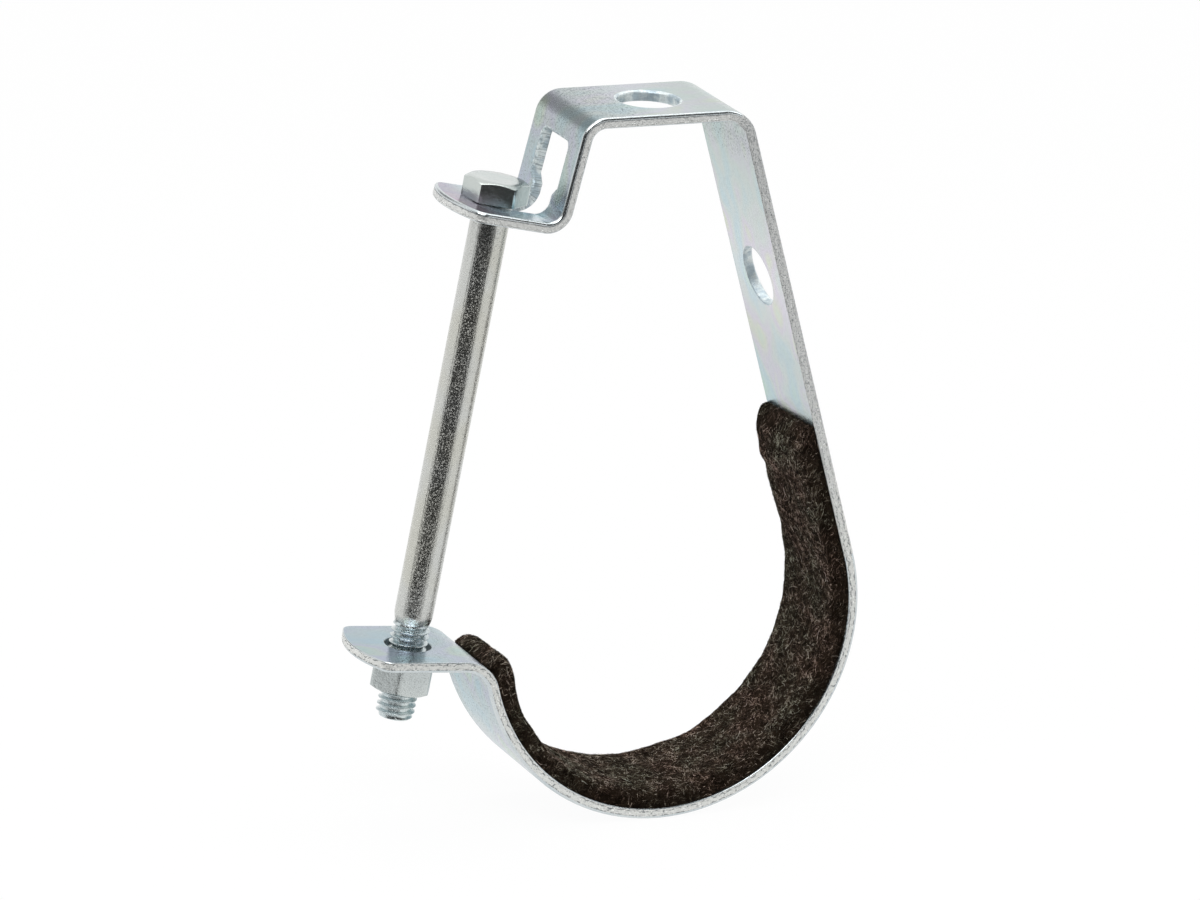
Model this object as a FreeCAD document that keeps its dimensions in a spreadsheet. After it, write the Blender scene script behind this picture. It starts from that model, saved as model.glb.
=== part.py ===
"""Felt-lined J hanger for a 3 inch pipe: a bent steel strap, its felt liner, a side bolt and a nut.

Millimetres. The origin is on the pipe's axis, at the middle of the strap's width.
+Z points up the hanger rod, +Y runs along the pipe and +X points from the bolt to the straight leg.
"""

import FreeCAD, Part
import math
import os

import Sketcher
from FreeCAD import Placement, Rotation, Vector

# Driving dimensions: name, size, what it is
SIZES = [
    ("pipe_diameter", 88.9, "outside of the pipe that the hanger carries"),
    ("felt_thickness", 4.0, "free thickness of the felt"),
    ("felt_squeeze", 0.85, "how much of the felt the clamped pipe presses flat"),
    ("felt_side_inset", 0.2, "from the strap's edges to the felt's"),
    ("glue_line", 0.05, "between the felt and the strap"),
    ("felt_leg_reach", 35.0, "up the straight leg from the end of the cradle"),
    ("felt_lap_angle", 22.0, "degrees of the lower bend that the felt covers"),
    ("strap_thickness", 2.66, "12 gauge strip"),
    ("strap_width", 28.6, "along the pipe"),
    ("cradle_end_angle", 14.6, "degrees under the pipe's centre where the cradle turns outwards"),
    ("lower_bend_radius", 7.1, "inside the bend between the cradle and the lower flange"),
    ("lower_stand_off", 10.1, "from the lower bend to the bolt's centre"),
    ("lower_tip_reach", 15.0, "from the bolt's centre to the lower flange's end"),
    ("leg_lean", 17.5, "degrees that the straight leg leans towards the rod"),
    ("leg_length", 115.0, "straight part, from the cradle to the shoulder bend"),
    ("shoulder_bend_radius", 6.0, "inside the bend between the straight leg and the top"),
    ("crown_bend_radius", 3.8, "inside the bend between the top and the slotted leg"),
    ("slotted_leg_lean", 12.4, "degrees that the slotted leg leans outwards"),
    ("slotted_leg_length", 17.9, "straight part of the slotted leg"),
    ("upper_bend_radius", 3.5, "inside the bend between the slotted leg and the upper flange"),
    ("upper_stand_off", 8.0, "from the upper bend to the bolt's centre"),
    ("upper_tip_reach", 13.4, "from the bolt's centre to the upper flange's end"),
    ("tip_radius", 28.0, "round of both flange ends"),
    ("tip_corner_radius", 3.2, "corners of both flange ends"),
    ("rod_diameter", 12.7, "hanger rod through the top"),
    ("rod_clearance", 2.4, "hole over rod, in diameter"),
    ("rod_hole_inset", 14.6, "from the shoulder bend to the rod hole's centre"),
    ("side_hole_diameter", 15.2, "hole in the straight leg"),
    ("side_hole_station", 73.2, "from the end of the cradle to the side hole's centre"),
    ("window_start", 2.5, "from the crown bend to the wide slot"),
    ("window_height", 11.4, "wide slot, down to its shoulders"),
    ("window_clearance", 0.45, "wide slot over the bolt's head, in width"),
    ("window_corner_radius", 1.8, "upper corners of the wide slot"),
    ("window_shoulder_angle", 45.0, "degrees, from the wide slot in to the narrow one"),
    ("slot_clearance", 0.8, "narrow slot over the bolt, in width"),
    ("bolt_diameter", 9.525, "shank and thread, 3/8 inch"),
    ("lower_flange_tilt", 4.8, "degrees below level, towards the cradle"),
    ("upper_flange_tilt", 11.9, "degrees below level, towards the slotted leg"),
    ("bolt_tilt", 8.2, "degrees that the bolt leans from upright, to the slotted leg"),
    ("bolt_hole_clearance", 2.0, "lower flange hole over the bolt, in diameter"),
    ("bolt_end_length", 7.1, "of the bolt under the nut"),
    ("bolt_end_chamfer", 1.0, "on the bolt's end"),
    ("bolt_neck_fillet", 0.3, "under the bolt's head"),
    ("hex_across_flats", 14.29, "bolt head and nut, 9/16 inch"),
    ("hex_face_diameter", 13.7, "flat round on the head's top and on both of the nut's faces"),
    ("hex_chamfer_angle", 30.0, "degrees, from those rounds to the corners"),
    ("head_height", 5.4, "bolt head"),
    ("head_turn", 37.4, "degrees that the head is turned on its seat"),
    ("nut_height", 8.33, "21/64 inch"),
    ("nut_bore_clearance", 0.1, "nut bore over the bolt, in diameter"),
    ("nut_countersink", 0.6, "at both ends of the nut's bore"),
    ("nut_turn", 2.0, "degrees that the nut is turned on its seat"),
    ("seat_gap", 0.04, "between a flange and the head or nut"),
]
SIZE = {name: value for name, value, _ in SIZES}

# How far a cut runs past the strap, in strap thicknesses, and past the nut, in nut heights
CUT_DEPTH = 4.0
CUT_MARGIN = 0.5
BORE_DEPTH = 3.0

# How near an edge lies to the place where it is looked for
NEAR = 0.01

os.makedirs("parts", exist_ok=True)
doc = FreeCAD.newDocument("JHanger")


def make_sheet():
    """Writes the driving dimensions into the document's sheet."""
    sheet = doc.addObject("Spreadsheet::Sheet", "Sizes")
    for row, (name, value, note) in enumerate(SIZES, start=1):
        sheet.set(f"A{row}", name)
        sheet.set(f"B{row}", str(value))
        sheet.set(f"C{row}", note)
        sheet.setAlias(f"B{row}", name)
    doc.recompute()


# Middle lines of bent strips

def direction(degrees):
    """Unit vector in the XZ plane, counted from +X towards +Z."""
    angle = math.radians(degrees)
    return Vector(math.cos(angle), 0, math.sin(angle))


class Chain:
    """Middle line of a bent strip: straight runs and tangent bends, with the pipe on the left."""

    def __init__(self, heading):
        self.stretches = []
        self.point = Vector(0, 0, 0)
        self.heading = heading

    def __getitem__(self, name):
        return next(stretch for stretch in self.stretches if stretch["name"] == name)

    def run(self, name, length):
        """Adds a straight run."""
        start = self.point
        self.point = start + direction(self.heading) * length
        self.stretches.append({"name": name, "start": start, "end": self.point, "heading": self.heading})

    def bend(self, name, radius, turn):
        """Adds a bend, anticlockwise for a positive turn."""
        start = self.point
        heading = self.heading
        side = math.copysign(90, turn)
        centre = start + direction(heading + side) * radius
        self.heading = heading + turn
        self.point = centre - direction(self.heading + side) * radius
        self.stretches.append({
            "name": name, "start": start, "end": self.point, "heading": heading,
            "centre": centre, "radius": radius, "turn": turn,
        })

    def centre_on(self, name):
        """Moves the whole chain so that the named bend's centre is the origin."""
        shift = self[name]["centre"]
        for stretch in self.stretches:
            for key in {"start", "end", "centre"} & stretch.keys():
                stretch[key] = stretch[key] - shift


def strap_chain():
    """Middle line of the strap, from the lower flange's end to the upper flange's end."""
    half = SIZE["strap_thickness"] / 2
    pipe_side = SIZE["pipe_diameter"] / 2 - SIZE["felt_squeeze"] + SIZE["felt_thickness"] + SIZE["glue_line"]
    crown_turn = 90 - SIZE["slotted_leg_lean"]
    chain = Chain(-SIZE["lower_flange_tilt"])
    chain.run("lower_flange", SIZE["lower_tip_reach"] + SIZE["lower_stand_off"])
    lower_turn = SIZE["cradle_end_angle"] + SIZE["lower_flange_tilt"] - 90
    chain.bend("lower_bend", SIZE["lower_bend_radius"] + half, lower_turn)
    chain.bend("cradle", pipe_side + half, 180 - SIZE["cradle_end_angle"] + SIZE["leg_lean"])
    chain.run("leg", SIZE["leg_length"])
    chain.bend("shoulder_bend", SIZE["shoulder_bend_radius"] + half, 90 - SIZE["leg_lean"])
    chain.run("top", top_length(chain, crown_turn))
    chain.bend("crown_bend", SIZE["crown_bend_radius"] + half, crown_turn)
    chain.run("slotted_leg", SIZE["slotted_leg_length"])
    chain.bend("upper_bend", SIZE["upper_bend_radius"] + half, -crown_turn - SIZE["upper_flange_tilt"])
    chain.run("upper_flange", SIZE["upper_stand_off"] + SIZE["upper_tip_reach"])
    chain.centre_on("cradle")
    return chain


def top_length(chain, crown_turn):
    """Length of the top that puts the bolt through both flanges at its own lean."""
    half = SIZE["strap_thickness"] / 2
    upper_tilt = SIZE["upper_flange_tilt"]
    rest = Chain(180)
    rest.bend("crown_bend", SIZE["crown_bend_radius"] + half, crown_turn)
    rest.run("slotted_leg", SIZE["slotted_leg_length"])
    rest.bend("upper_bend", SIZE["upper_bend_radius"] + half, -crown_turn - upper_tilt)
    rest.run("upper_flange", SIZE["upper_stand_off"])
    across_bolt = direction(-SIZE["bolt_tilt"])
    upper_face = chain.point + rest.point - direction(90 - upper_tilt) * half
    return (upper_face - lower_face_point(chain)).dot(across_bolt) / across_bolt.x


def lower_hole(chain):
    """Middle of the bolt's hole in the lower flange."""
    return chain["lower_flange"]["start"] + direction(-SIZE["lower_flange_tilt"]) * SIZE["lower_tip_reach"]


def upper_hole(chain):
    """Middle of the slot's round end in the upper flange."""
    return chain["upper_flange"]["end"] + direction(-SIZE["upper_flange_tilt"]) * SIZE["upper_tip_reach"]


def lower_face_point(chain):
    """Where the bolt's axis leaves the lower flange's upper face."""
    return lower_hole(chain) + direction(90 - SIZE["lower_flange_tilt"]) * SIZE["strap_thickness"] / 2


def upper_face_point(chain):
    """Where the bolt's axis enters the upper flange's lower face."""
    return upper_hole(chain) - direction(90 - SIZE["upper_flange_tilt"]) * SIZE["strap_thickness"] / 2


def felt_chain(strap):
    """Middle line of the felt, from its lap over the lower bend to its end on the straight leg."""
    half = SIZE["felt_thickness"] / 2
    turn = SIZE["felt_lap_angle"]
    lap_radius = SIZE["lower_bend_radius"] + SIZE["strap_thickness"] + SIZE["glue_line"] + half
    chain = Chain(SIZE["cradle_end_angle"] + turn - 90)
    chain.bend("lap", lap_radius, -turn)
    chain.bend("cradle", SIZE["pipe_diameter"] / 2 - SIZE["felt_squeeze"] + half, strap["cradle"]["turn"])
    chain.run("leg", SIZE["felt_leg_reach"])
    chain.centre_on("cradle")
    return chain


# Sketches

def in_plane(point):
    """A point of the XZ plane as a sketch's own point."""
    return Vector(point.x, point.z, 0)


def add_constraint(sketch, name, formula, *values):
    """Adds a named constraint whose size comes from the sheet."""
    index = sketch.addConstraint(Sketcher.Constraint(*values))
    sketch.renameConstraint(index, name)
    sketch.setExpression(f"Constraints.{name}", formula)


def plane_of(body, role):
    """One of the body's own origin planes."""
    return next(plane for plane in body.Origin.OriginFeatures if plane.Role == role)


def new_sketch(body, name, role="XZ_Plane", offset=None):
    """Adds a sketch to the body, on an origin plane or moved away from it."""
    sketch = body.newObject("Sketcher::SketchObject", name)
    sketch.AttachmentSupport = [(plane_of(body, role), "")]
    sketch.MapMode = "FlatFace"
    if offset is not None:
        sketch.AttachmentOffset = offset
    return sketch


def strip_edges(sketch, chain, offset):
    """Draws one face of a strip, offset to the left of its middle line."""
    edges = []
    for stretch in chain.stretches:
        if "turn" in stretch:
            clockwise = stretch["turn"] < 0
            radius = stretch["radius"] + (offset if clockwise else -offset)
            circle = Part.Circle(in_plane(stretch["centre"]), Vector(0, 0, 1), radius)
            first = stretch["heading"] + (90 if clockwise else -90)
            last = first + stretch["turn"]
            low, high = sorted((math.radians(first), math.radians(last)))
            index = sketch.addGeometry(Part.ArcOfCircle(circle, low, high), False)
            ends = (2, 1) if clockwise else (1, 2)
        else:
            shift = direction(stretch["heading"] + 90) * offset
            line = Part.LineSegment(in_plane(stretch["start"] + shift), in_plane(stretch["end"] + shift))
            index = sketch.addGeometry(line, False)
            ends = (1, 2)
        edges.append({"id": index, "begin": ends[0], "finish": ends[1], "name": stretch["name"]})
    for edge, following in zip(edges, edges[1:]):
        sketch.addConstraint(Sketcher.Constraint(
            "Tangent", edge["id"], edge["finish"], following["id"], following["begin"]))
    return edges


def add_cap(sketch, chain, near, far, end):
    """Closes one end of a strip, square to its face."""
    points = [sketch.getPoint(edge["id"], edge[end]) for edge in (near, far)]
    cap = sketch.addGeometry(Part.LineSegment(*points), False)
    for position, edge in enumerate((near, far), start=1):
        sketch.addConstraint(Sketcher.Constraint("Coincident", cap, position, edge["id"], edge[end]))
    if "turn" in chain[near["name"]]:
        sketch.addConstraint(Sketcher.Constraint("PointOnObject", near["id"], 3, cap))
    else:
        sketch.addConstraint(Sketcher.Constraint("Perpendicular", cap, near["id"]))
        sketch.addConstraint(Sketcher.Constraint("Parallel", near["id"], far["id"]))
    return cap


def strip_sketch(body, name, chain, half_thickness):
    """Draws a strip's closed side view and returns the sketch with the edges of both faces."""
    sketch = new_sketch(body, name)
    near = strip_edges(sketch, chain, half_thickness)
    far = strip_edges(sketch, chain, -half_thickness)
    caps = [
        add_cap(sketch, chain, near[0], far[0], "begin"),
        add_cap(sketch, chain, near[-1], far[-1], "finish"),
    ]
    for near_edge, far_edge in zip(near, far):
        if "turn" in chain[near_edge["name"]]:
            sketch.addConstraint(Sketcher.Constraint("Coincident", near_edge["id"], 3, far_edge["id"], 3))
    near_ids = {edge["name"]: edge["id"] for edge in near}
    far_ids = {edge["name"]: edge["id"] for edge in far}
    sketch.addConstraint(Sketcher.Constraint("Coincident", near_ids["cradle"], 3, -1, 1))
    return sketch, near_ids, far_ids, caps


def add_radius_line(sketch, bend_id):
    """Draws the helper line from a bend's centre to the pipe's axis."""
    centre = sketch.getPoint(bend_id, 3)
    line = sketch.addGeometry(Part.LineSegment(centre, Vector(0, 0, 0)), True)
    sketch.addConstraint(Sketcher.Constraint("Coincident", line, 1, bend_id, 3))
    sketch.addConstraint(Sketcher.Constraint("Coincident", line, 2, -1, 1))
    return line


def pad_both_ways(body, name, sketch, width):
    """Pads a side view to both sides of the XZ plane."""
    pad = body.newObject("PartDesign::Pad", name)
    pad.Profile = sketch
    pad.SideType = "Symmetric"
    pad.setExpression("Length", width)
    sketch.Visibility = False
    return pad


def cut(body, name, sketch, depth):
    """Cuts a sketch to both sides of its plane and checks that metal went."""
    doc.recompute()
    before = body.Shape.Volume
    pocket = body.newObject("PartDesign::Pocket", name)
    pocket.Profile = sketch
    pocket.SideType = "Symmetric"
    pocket.setExpression("Length", depth)
    sketch.Visibility = False
    doc.recompute()
    if body.Shape.Volume >= before:
        raise RuntimeError(f"{name} cuts nothing")


def dress_edges(body, kind, name, edge_names, key, formula):
    """Adds a fillet or a chamfer to named edges of the body's last feature."""
    last = body.Tip
    feature = body.newObject(kind, name)
    feature.Base = (last, edge_names)
    feature.setExpression(key, formula)


def strip_frame(point, heading):
    """Frame on a strip's middle surface: x along the heading and z away from the pipe."""
    x_axis = direction(heading)
    y_axis = Vector(0, -1, 0)
    return Placement(point, Rotation(x_axis, y_axis, x_axis.cross(y_axis), "ZXY"))


def add_circle(sketch, name, x, x_formula, diameter, formula):
    """Draws a dimensioned circle on the sketch's x axis."""
    circle = sketch.addGeometry(Part.Circle(Vector(x, 0, 0), Vector(0, 0, 1), diameter / 2), False)
    sketch.addConstraint(Sketcher.Constraint("PointOnObject", circle, 3, -1))
    add_constraint(sketch, f"{name}_diameter", formula, "Diameter", circle, diameter)
    add_constraint(sketch, f"{name}_place", x_formula, "DistanceX", -1, 1, circle, 3, x)


def add_lines(sketch, *points):
    """Draws a run of straight lines that share their ends."""
    lines = [sketch.addGeometry(Part.LineSegment(*pair), False) for pair in zip(points, points[1:])]
    for line, following in zip(lines, lines[1:]):
        sketch.addConstraint(Sketcher.Constraint("Coincident", line, 2, following, 1))
    return lines


# The strap

def draw_strap_profile(body, chain):
    """Side view of the strap, fully dimensioned."""
    sketch, near, far, _ = strip_sketch(body, "StrapProfile", chain, SIZE["strap_thickness"] / 2)
    thickness = SIZE["strap_thickness"]
    pipe_side = chain["cradle"]["radius"] - thickness / 2
    cradle = "Sizes.pipe_diameter / 2 - Sizes.felt_squeeze + Sizes.felt_thickness + Sizes.glue_line"
    radii = [
        ("cradle_inside", cradle, near["cradle"], pipe_side),
        ("cradle_outside", f"{cradle} + Sizes.strap_thickness", far["cradle"], pipe_side + thickness),
    ]
    for bend, inside, outside in (
        ("shoulder_bend", near, far), ("crown_bend", near, far), ("upper_bend", far, near),
    ):
        radius = SIZE[f"{bend}_radius"]
        formula = f"Sizes.{bend}_radius"
        radii.append((f"{bend}_inside", formula, inside[bend], radius))
        outer = f"{formula} + Sizes.strap_thickness"
        radii.append((f"{bend}_outside", outer, outside[bend], radius + thickness))
    lower_outside = SIZE["lower_bend_radius"] + thickness
    lower_formula = "Sizes.lower_bend_radius + Sizes.strap_thickness"
    radii.append(("lower_bend_outside", lower_formula, near["lower_bend"], lower_outside))
    for name, formula, edge, radius in radii:
        add_constraint(sketch, name, formula, "Radius", edge, radius)
    for name, formula, edge, degrees in (
        ("lower_tilt", "-Sizes.lower_flange_tilt", "lower_flange", -SIZE["lower_flange_tilt"]),
        ("leg_angle", "90 + Sizes.leg_lean", "leg", 90 + SIZE["leg_lean"]),
        ("slotted_leg_angle", "-90 - Sizes.slotted_leg_lean", "slotted_leg", -90 - SIZE["slotted_leg_lean"]),
        ("upper_tilt", "180 - Sizes.upper_flange_tilt", "upper_flange", 180 - SIZE["upper_flange_tilt"]),
    ):
        add_constraint(sketch, name, formula, "Angle", near[edge], math.radians(degrees))
    sketch.addConstraint(Sketcher.Constraint("Horizontal", near["top"]))
    for name, formula, edge in (
        ("lower_length", "Sizes.lower_tip_reach + Sizes.lower_stand_off", "lower_flange"),
        ("leg_length", "Sizes.leg_length", "leg"),
        ("slotted_leg_length", "Sizes.slotted_leg_length", "slotted_leg"),
        ("upper_length", "Sizes.upper_tip_reach + Sizes.upper_stand_off", "upper_flange"),
    ):
        length = (chain[edge]["end"] - chain[edge]["start"]).Length
        add_constraint(sketch, name, formula, "Distance", near[edge], length)
    radius_line = add_radius_line(sketch, near["lower_bend"])
    angle = math.radians(SIZE["cradle_end_angle"])
    add_constraint(sketch, "cradle_end", "Sizes.cradle_end_angle", "Angle", radius_line, angle)
    draw_bolt_line(sketch, chain, near)
    return sketch


def draw_bolt_line(sketch, chain, near):
    """Helper line along the bolt's axis, as long as the gap between the flanges."""
    lower = in_plane(lower_face_point(chain))
    upper = in_plane(upper_face_point(chain))
    line = sketch.addGeometry(Part.LineSegment(lower, upper), True)
    for position, flange in ((1, "lower_flange"), (2, "upper_flange")):
        sketch.addConstraint(Sketcher.Constraint("PointOnObject", line, position, near[flange]))
    lean = math.radians(90 - SIZE["bolt_tilt"])
    add_constraint(sketch, "bolt_lean", "90 - Sizes.bolt_tilt", "Angle", line, lean)
    add_constraint(sketch, "lower_hole", "Sizes.lower_tip_reach", "Distance",
                   line, 1, near["lower_flange"], 1, SIZE["lower_tip_reach"])
    add_constraint(sketch, "upper_hole", "Sizes.upper_tip_reach", "Distance",
                   line, 2, near["upper_flange"], 2, SIZE["upper_tip_reach"])
    gap = sketch.addConstraint(Sketcher.Constraint("Distance", line, (upper - lower).Length))
    sketch.setDriving(gap, False)
    sketch.renameConstraint(gap, "flange_gap")


def cut_flange_tip(body, name, tip, tilt):
    """Rounds a flange's end with one large arc."""
    frame = strip_frame(tip, -tilt)
    sketch = new_sketch(body, f"{name}TipOutline", "XY_Plane", frame)
    radius = SIZE["tip_radius"]
    margin = CUT_MARGIN * SIZE["strap_thickness"]
    half_width = SIZE["strap_width"] / 2 + margin
    depth = radius - math.sqrt(radius ** 2 - half_width ** 2)
    spread = math.asin(half_width / radius)
    circle = Part.Circle(Vector(radius, 0, 0), Vector(0, 0, 1), radius)
    arc = sketch.addGeometry(Part.ArcOfCircle(circle, math.pi - spread, math.pi + spread), False)
    lines = add_lines(
        sketch, Vector(depth, -half_width, 0), Vector(-margin, -half_width, 0),
        Vector(-margin, half_width, 0), Vector(depth, half_width, 0),
    )
    for constraint in (
        ("Coincident", arc, 2, lines[0], 1), ("Coincident", arc, 1, lines[2], 2),
        ("Horizontal", lines[0]), ("Horizontal", lines[2]), ("PointOnObject", arc, 3, -1),
        ("Symmetric", lines[1], 1, lines[1], 2, -1),
    ):
        sketch.addConstraint(Sketcher.Constraint(*constraint))
    past = f"{CUT_MARGIN} * Sizes.strap_thickness"
    past_side = f"Sizes.strap_width / 2 + {past}"
    add_constraint(sketch, "tip_round", "Sizes.tip_radius", "Radius", arc, radius)
    add_constraint(sketch, "tip_round_centre", "Sizes.tip_radius", "DistanceX", -1, 1, arc, 3, radius)
    add_constraint(sketch, "past_end", past, "DistanceX", lines[1], 1, -1, 1, margin)
    add_constraint(sketch, "past_side", past_side, "DistanceY", -1, 1, lines[1], 2, half_width)
    cut(body, f"{name}Tip", sketch, f"{CUT_DEPTH} * Sizes.strap_thickness")
    return frame


def round_tip_corners(body, frames):
    """Rounds the corners between the flange ends and the strap's edges."""
    radius = SIZE["tip_radius"]
    side = SIZE["strap_width"] / 2
    corner_x = radius - math.sqrt(radius ** 2 - side ** 2)
    corners = [frame * Vector(corner_x, y, 0) for frame in frames for y in (side, -side)]
    doc.recompute()
    names = [
        f"Edge{index}" for index, edge in enumerate(body.Shape.Edges, start=1)
        if any(edge.CenterOfMass.distanceToPoint(corner) < NEAR for corner in corners)
    ]
    if len(names) != len(corners):
        raise RuntimeError("the flange corners were not found")
    dress_edges(body, "PartDesign::Fillet", "TipCorners", names, "Radius", "Sizes.tip_corner_radius")


def cut_window(body, chain):
    """Cuts the wide slot that lets the bolt's head through, with shoulders down to the narrow slot."""
    leg = chain["slotted_leg"]
    sketch = new_sketch(body, "WindowOutline", "XY_Plane", strip_frame(leg["start"], leg["heading"]))
    top = SIZE["window_start"]
    wide = (SIZE["hex_across_flats"] + SIZE["window_clearance"]) / 2
    narrow = (SIZE["bolt_diameter"] + SIZE["slot_clearance"]) / 2
    corner = SIZE["window_corner_radius"]
    shoulder = top + SIZE["window_height"]
    slope_angle = math.radians(SIZE["window_shoulder_angle"])
    neck = shoulder + (wide - narrow) / math.tan(slope_angle)
    bottom = SIZE["slotted_leg_length"]
    z_axis = Vector(0, 0, 1)
    sill = sketch.addGeometry(
        Part.LineSegment(Vector(top, corner - wide, 0), Vector(top, wide - corner, 0)), False)
    upper_circle = Part.Circle(Vector(top + corner, wide - corner, 0), z_axis, corner)
    lower_circle = Part.Circle(Vector(top + corner, corner - wide, 0), z_axis, corner)
    upper_corner = sketch.addGeometry(Part.ArcOfCircle(upper_circle, math.pi / 2, math.pi), False)
    lower_corner = sketch.addGeometry(Part.ArcOfCircle(lower_circle, math.pi, 3 * math.pi / 2), False)
    side, slope, cheek, floor, far_cheek, far_slope, far_side = add_lines(
        sketch, Vector(top + corner, wide, 0), Vector(shoulder, wide, 0), Vector(neck, narrow, 0),
        Vector(bottom, narrow, 0), Vector(bottom, -narrow, 0), Vector(neck, -narrow, 0),
        Vector(shoulder, -wide, 0), Vector(top + corner, -wide, 0),
    )
    for constraint in (
        ("Tangent", sill, 2, upper_corner, 2), ("Tangent", upper_corner, 1, side, 1),
        ("Tangent", sill, 1, lower_corner, 1), ("Tangent", lower_corner, 2, far_side, 2),
        ("Horizontal", side), ("Horizontal", cheek), ("Horizontal", far_cheek), ("Horizontal", far_side),
        ("Symmetric", sill, 1, sill, 2, -1), ("Symmetric", floor, 1, floor, 2, -1),
        ("Equal", upper_corner, lower_corner), ("Vertical", side, 2, far_slope, 2),
        ("Vertical", slope, 2, far_slope, 1),
    ):
        sketch.addConstraint(Sketcher.Constraint(*constraint))
    add_constraint(sketch, "corner_radius", "Sizes.window_corner_radius", "Radius", upper_corner, corner)
    add_constraint(sketch, "start", "Sizes.window_start", "DistanceX", -1, 1, sill, 1, top)
    add_constraint(sketch, "shoulder", "Sizes.window_start + Sizes.window_height",
                   "DistanceX", -1, 1, side, 2, shoulder)
    add_constraint(sketch, "bottom", "Sizes.slotted_leg_length", "DistanceX", -1, 1, floor, 1, bottom)
    add_constraint(sketch, "half_window", "(Sizes.hex_across_flats + Sizes.window_clearance) / 2",
                   "DistanceY", -1, 1, side, 1, wide)
    add_constraint(sketch, "half_slot", "(Sizes.bolt_diameter + Sizes.slot_clearance) / 2",
                   "DistanceY", -1, 1, floor, 1, narrow)
    add_constraint(sketch, "shoulder_slope", "-Sizes.window_shoulder_angle", "Angle", slope, -slope_angle)
    cut(body, "Window", sketch, f"{CUT_DEPTH} * Sizes.strap_thickness")


def cut_slot(body, chain, tip_frame):
    """Runs the narrow slot from the window round the upper bend to the bolt."""
    thickness = SIZE["strap_thickness"]
    tilt = SIZE["upper_flange_tilt"]
    x_axis = direction(-tilt)
    y_axis = direction(90 - tilt)
    frame = Placement(tip_frame.Base, Rotation(x_axis, y_axis, x_axis.cross(y_axis), "ZXY"))
    sketch = new_sketch(body, "SlotSideView", "XY_Plane", frame)
    margin = CUT_MARGIN * thickness
    left = SIZE["upper_tip_reach"]
    right = left + SIZE["upper_stand_off"] + SIZE["upper_bend_radius"] + 2 * thickness
    bend_turn = math.radians(90 - SIZE["slotted_leg_lean"] + tilt)
    top = (SIZE["upper_bend_radius"] + thickness / 2) * (1 - math.cos(bend_turn)) + margin / 2
    bottom = -thickness / 2 - margin
    lines = add_lines(
        sketch, Vector(left, bottom, 0), Vector(right, bottom, 0), Vector(right, top, 0),
        Vector(left, top, 0), Vector(left, bottom, 0),
    )
    for constraint in (
        ("Coincident", lines[3], 2, lines[0], 1), ("Horizontal", lines[0]), ("Horizontal", lines[2]),
        ("Vertical", lines[1]), ("Vertical", lines[3]),
    ):
        sketch.addConstraint(Sketcher.Constraint(*constraint))
    past = f"{CUT_MARGIN} * Sizes.strap_thickness"
    reach = (
        "Sizes.upper_tip_reach + Sizes.upper_stand_off + Sizes.upper_bend_radius"
        " + 2 * Sizes.strap_thickness")
    turn = "(90 - Sizes.slotted_leg_lean + Sizes.upper_flange_tilt) * 1 deg"
    rise = f"(Sizes.upper_bend_radius + Sizes.strap_thickness / 2) * (1 - cos({turn})) + {past} / 2"
    add_constraint(sketch, "bolt_side", "Sizes.upper_tip_reach", "DistanceX", -1, 1, lines[0], 1, left)
    add_constraint(sketch, "leg_side", reach, "DistanceX", -1, 1, lines[0], 2, right)
    add_constraint(sketch, "rise", rise, "DistanceY", -1, 1, lines[2], 1, top)
    drop = f"Sizes.strap_thickness / 2 + {past}"
    add_constraint(sketch, "drop", drop, "DistanceY", lines[0], 1, -1, 1, -bottom)
    cut(body, "Slot", sketch, "Sizes.bolt_diameter + Sizes.slot_clearance")


def cut_hole(body, name, point, heading, place, diameter):
    """Cuts a round hole through the strap; place and diameter are a size and its formula."""
    sketch = new_sketch(body, f"{name}Circle", "XY_Plane", strip_frame(point, heading))
    add_circle(sketch, name.lower(), place[0], place[1], diameter[0], diameter[1])
    cut(body, name, sketch, f"{CUT_DEPTH} * Sizes.strap_thickness")


def build_strap(chain):
    """The bent strap with its holes and its keyhole slot."""
    body = doc.addObject("PartDesign::Body", "Strap")
    body.Label = "j_band"
    profile = draw_strap_profile(body, chain)
    pad_both_ways(body, "StrapPad", profile, "Sizes.strap_width")
    lower_tilt = SIZE["lower_flange_tilt"]
    upper_tilt = SIZE["upper_flange_tilt"]
    lower_tip = cut_flange_tip(body, "Lower", chain["lower_flange"]["start"], lower_tilt)
    upper_tip = cut_flange_tip(body, "Upper", chain["upper_flange"]["end"], upper_tilt)
    round_tip_corners(body, [lower_tip, upper_tip])
    cut_window(body, chain)
    cut_slot(body, chain, upper_tip)
    cut_hole(
        body, "SlotEnd", upper_tip.Base, -upper_tilt, (SIZE["upper_tip_reach"], "Sizes.upper_tip_reach"),
        (SIZE["bolt_diameter"] + SIZE["slot_clearance"], "Sizes.bolt_diameter + Sizes.slot_clearance"))
    cut_hole(
        body, "BoltHole", lower_tip.Base, -lower_tilt, (SIZE["lower_tip_reach"], "Sizes.lower_tip_reach"),
        (SIZE["bolt_diameter"] + SIZE["bolt_hole_clearance"],
         "Sizes.bolt_diameter + Sizes.bolt_hole_clearance"))
    cut_hole(
        body, "RodHole", chain["top"]["start"], chain["top"]["heading"],
        (SIZE["rod_hole_inset"], "Sizes.rod_hole_inset"),
        (SIZE["rod_diameter"] + SIZE["rod_clearance"], "Sizes.rod_diameter + Sizes.rod_clearance"))
    cut_hole(
        body, "SideHole", chain["leg"]["start"], chain["leg"]["heading"],
        (SIZE["side_hole_station"], "Sizes.side_hole_station"),
        (SIZE["side_hole_diameter"], "Sizes.side_hole_diameter"))
    return body


# The felt

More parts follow.
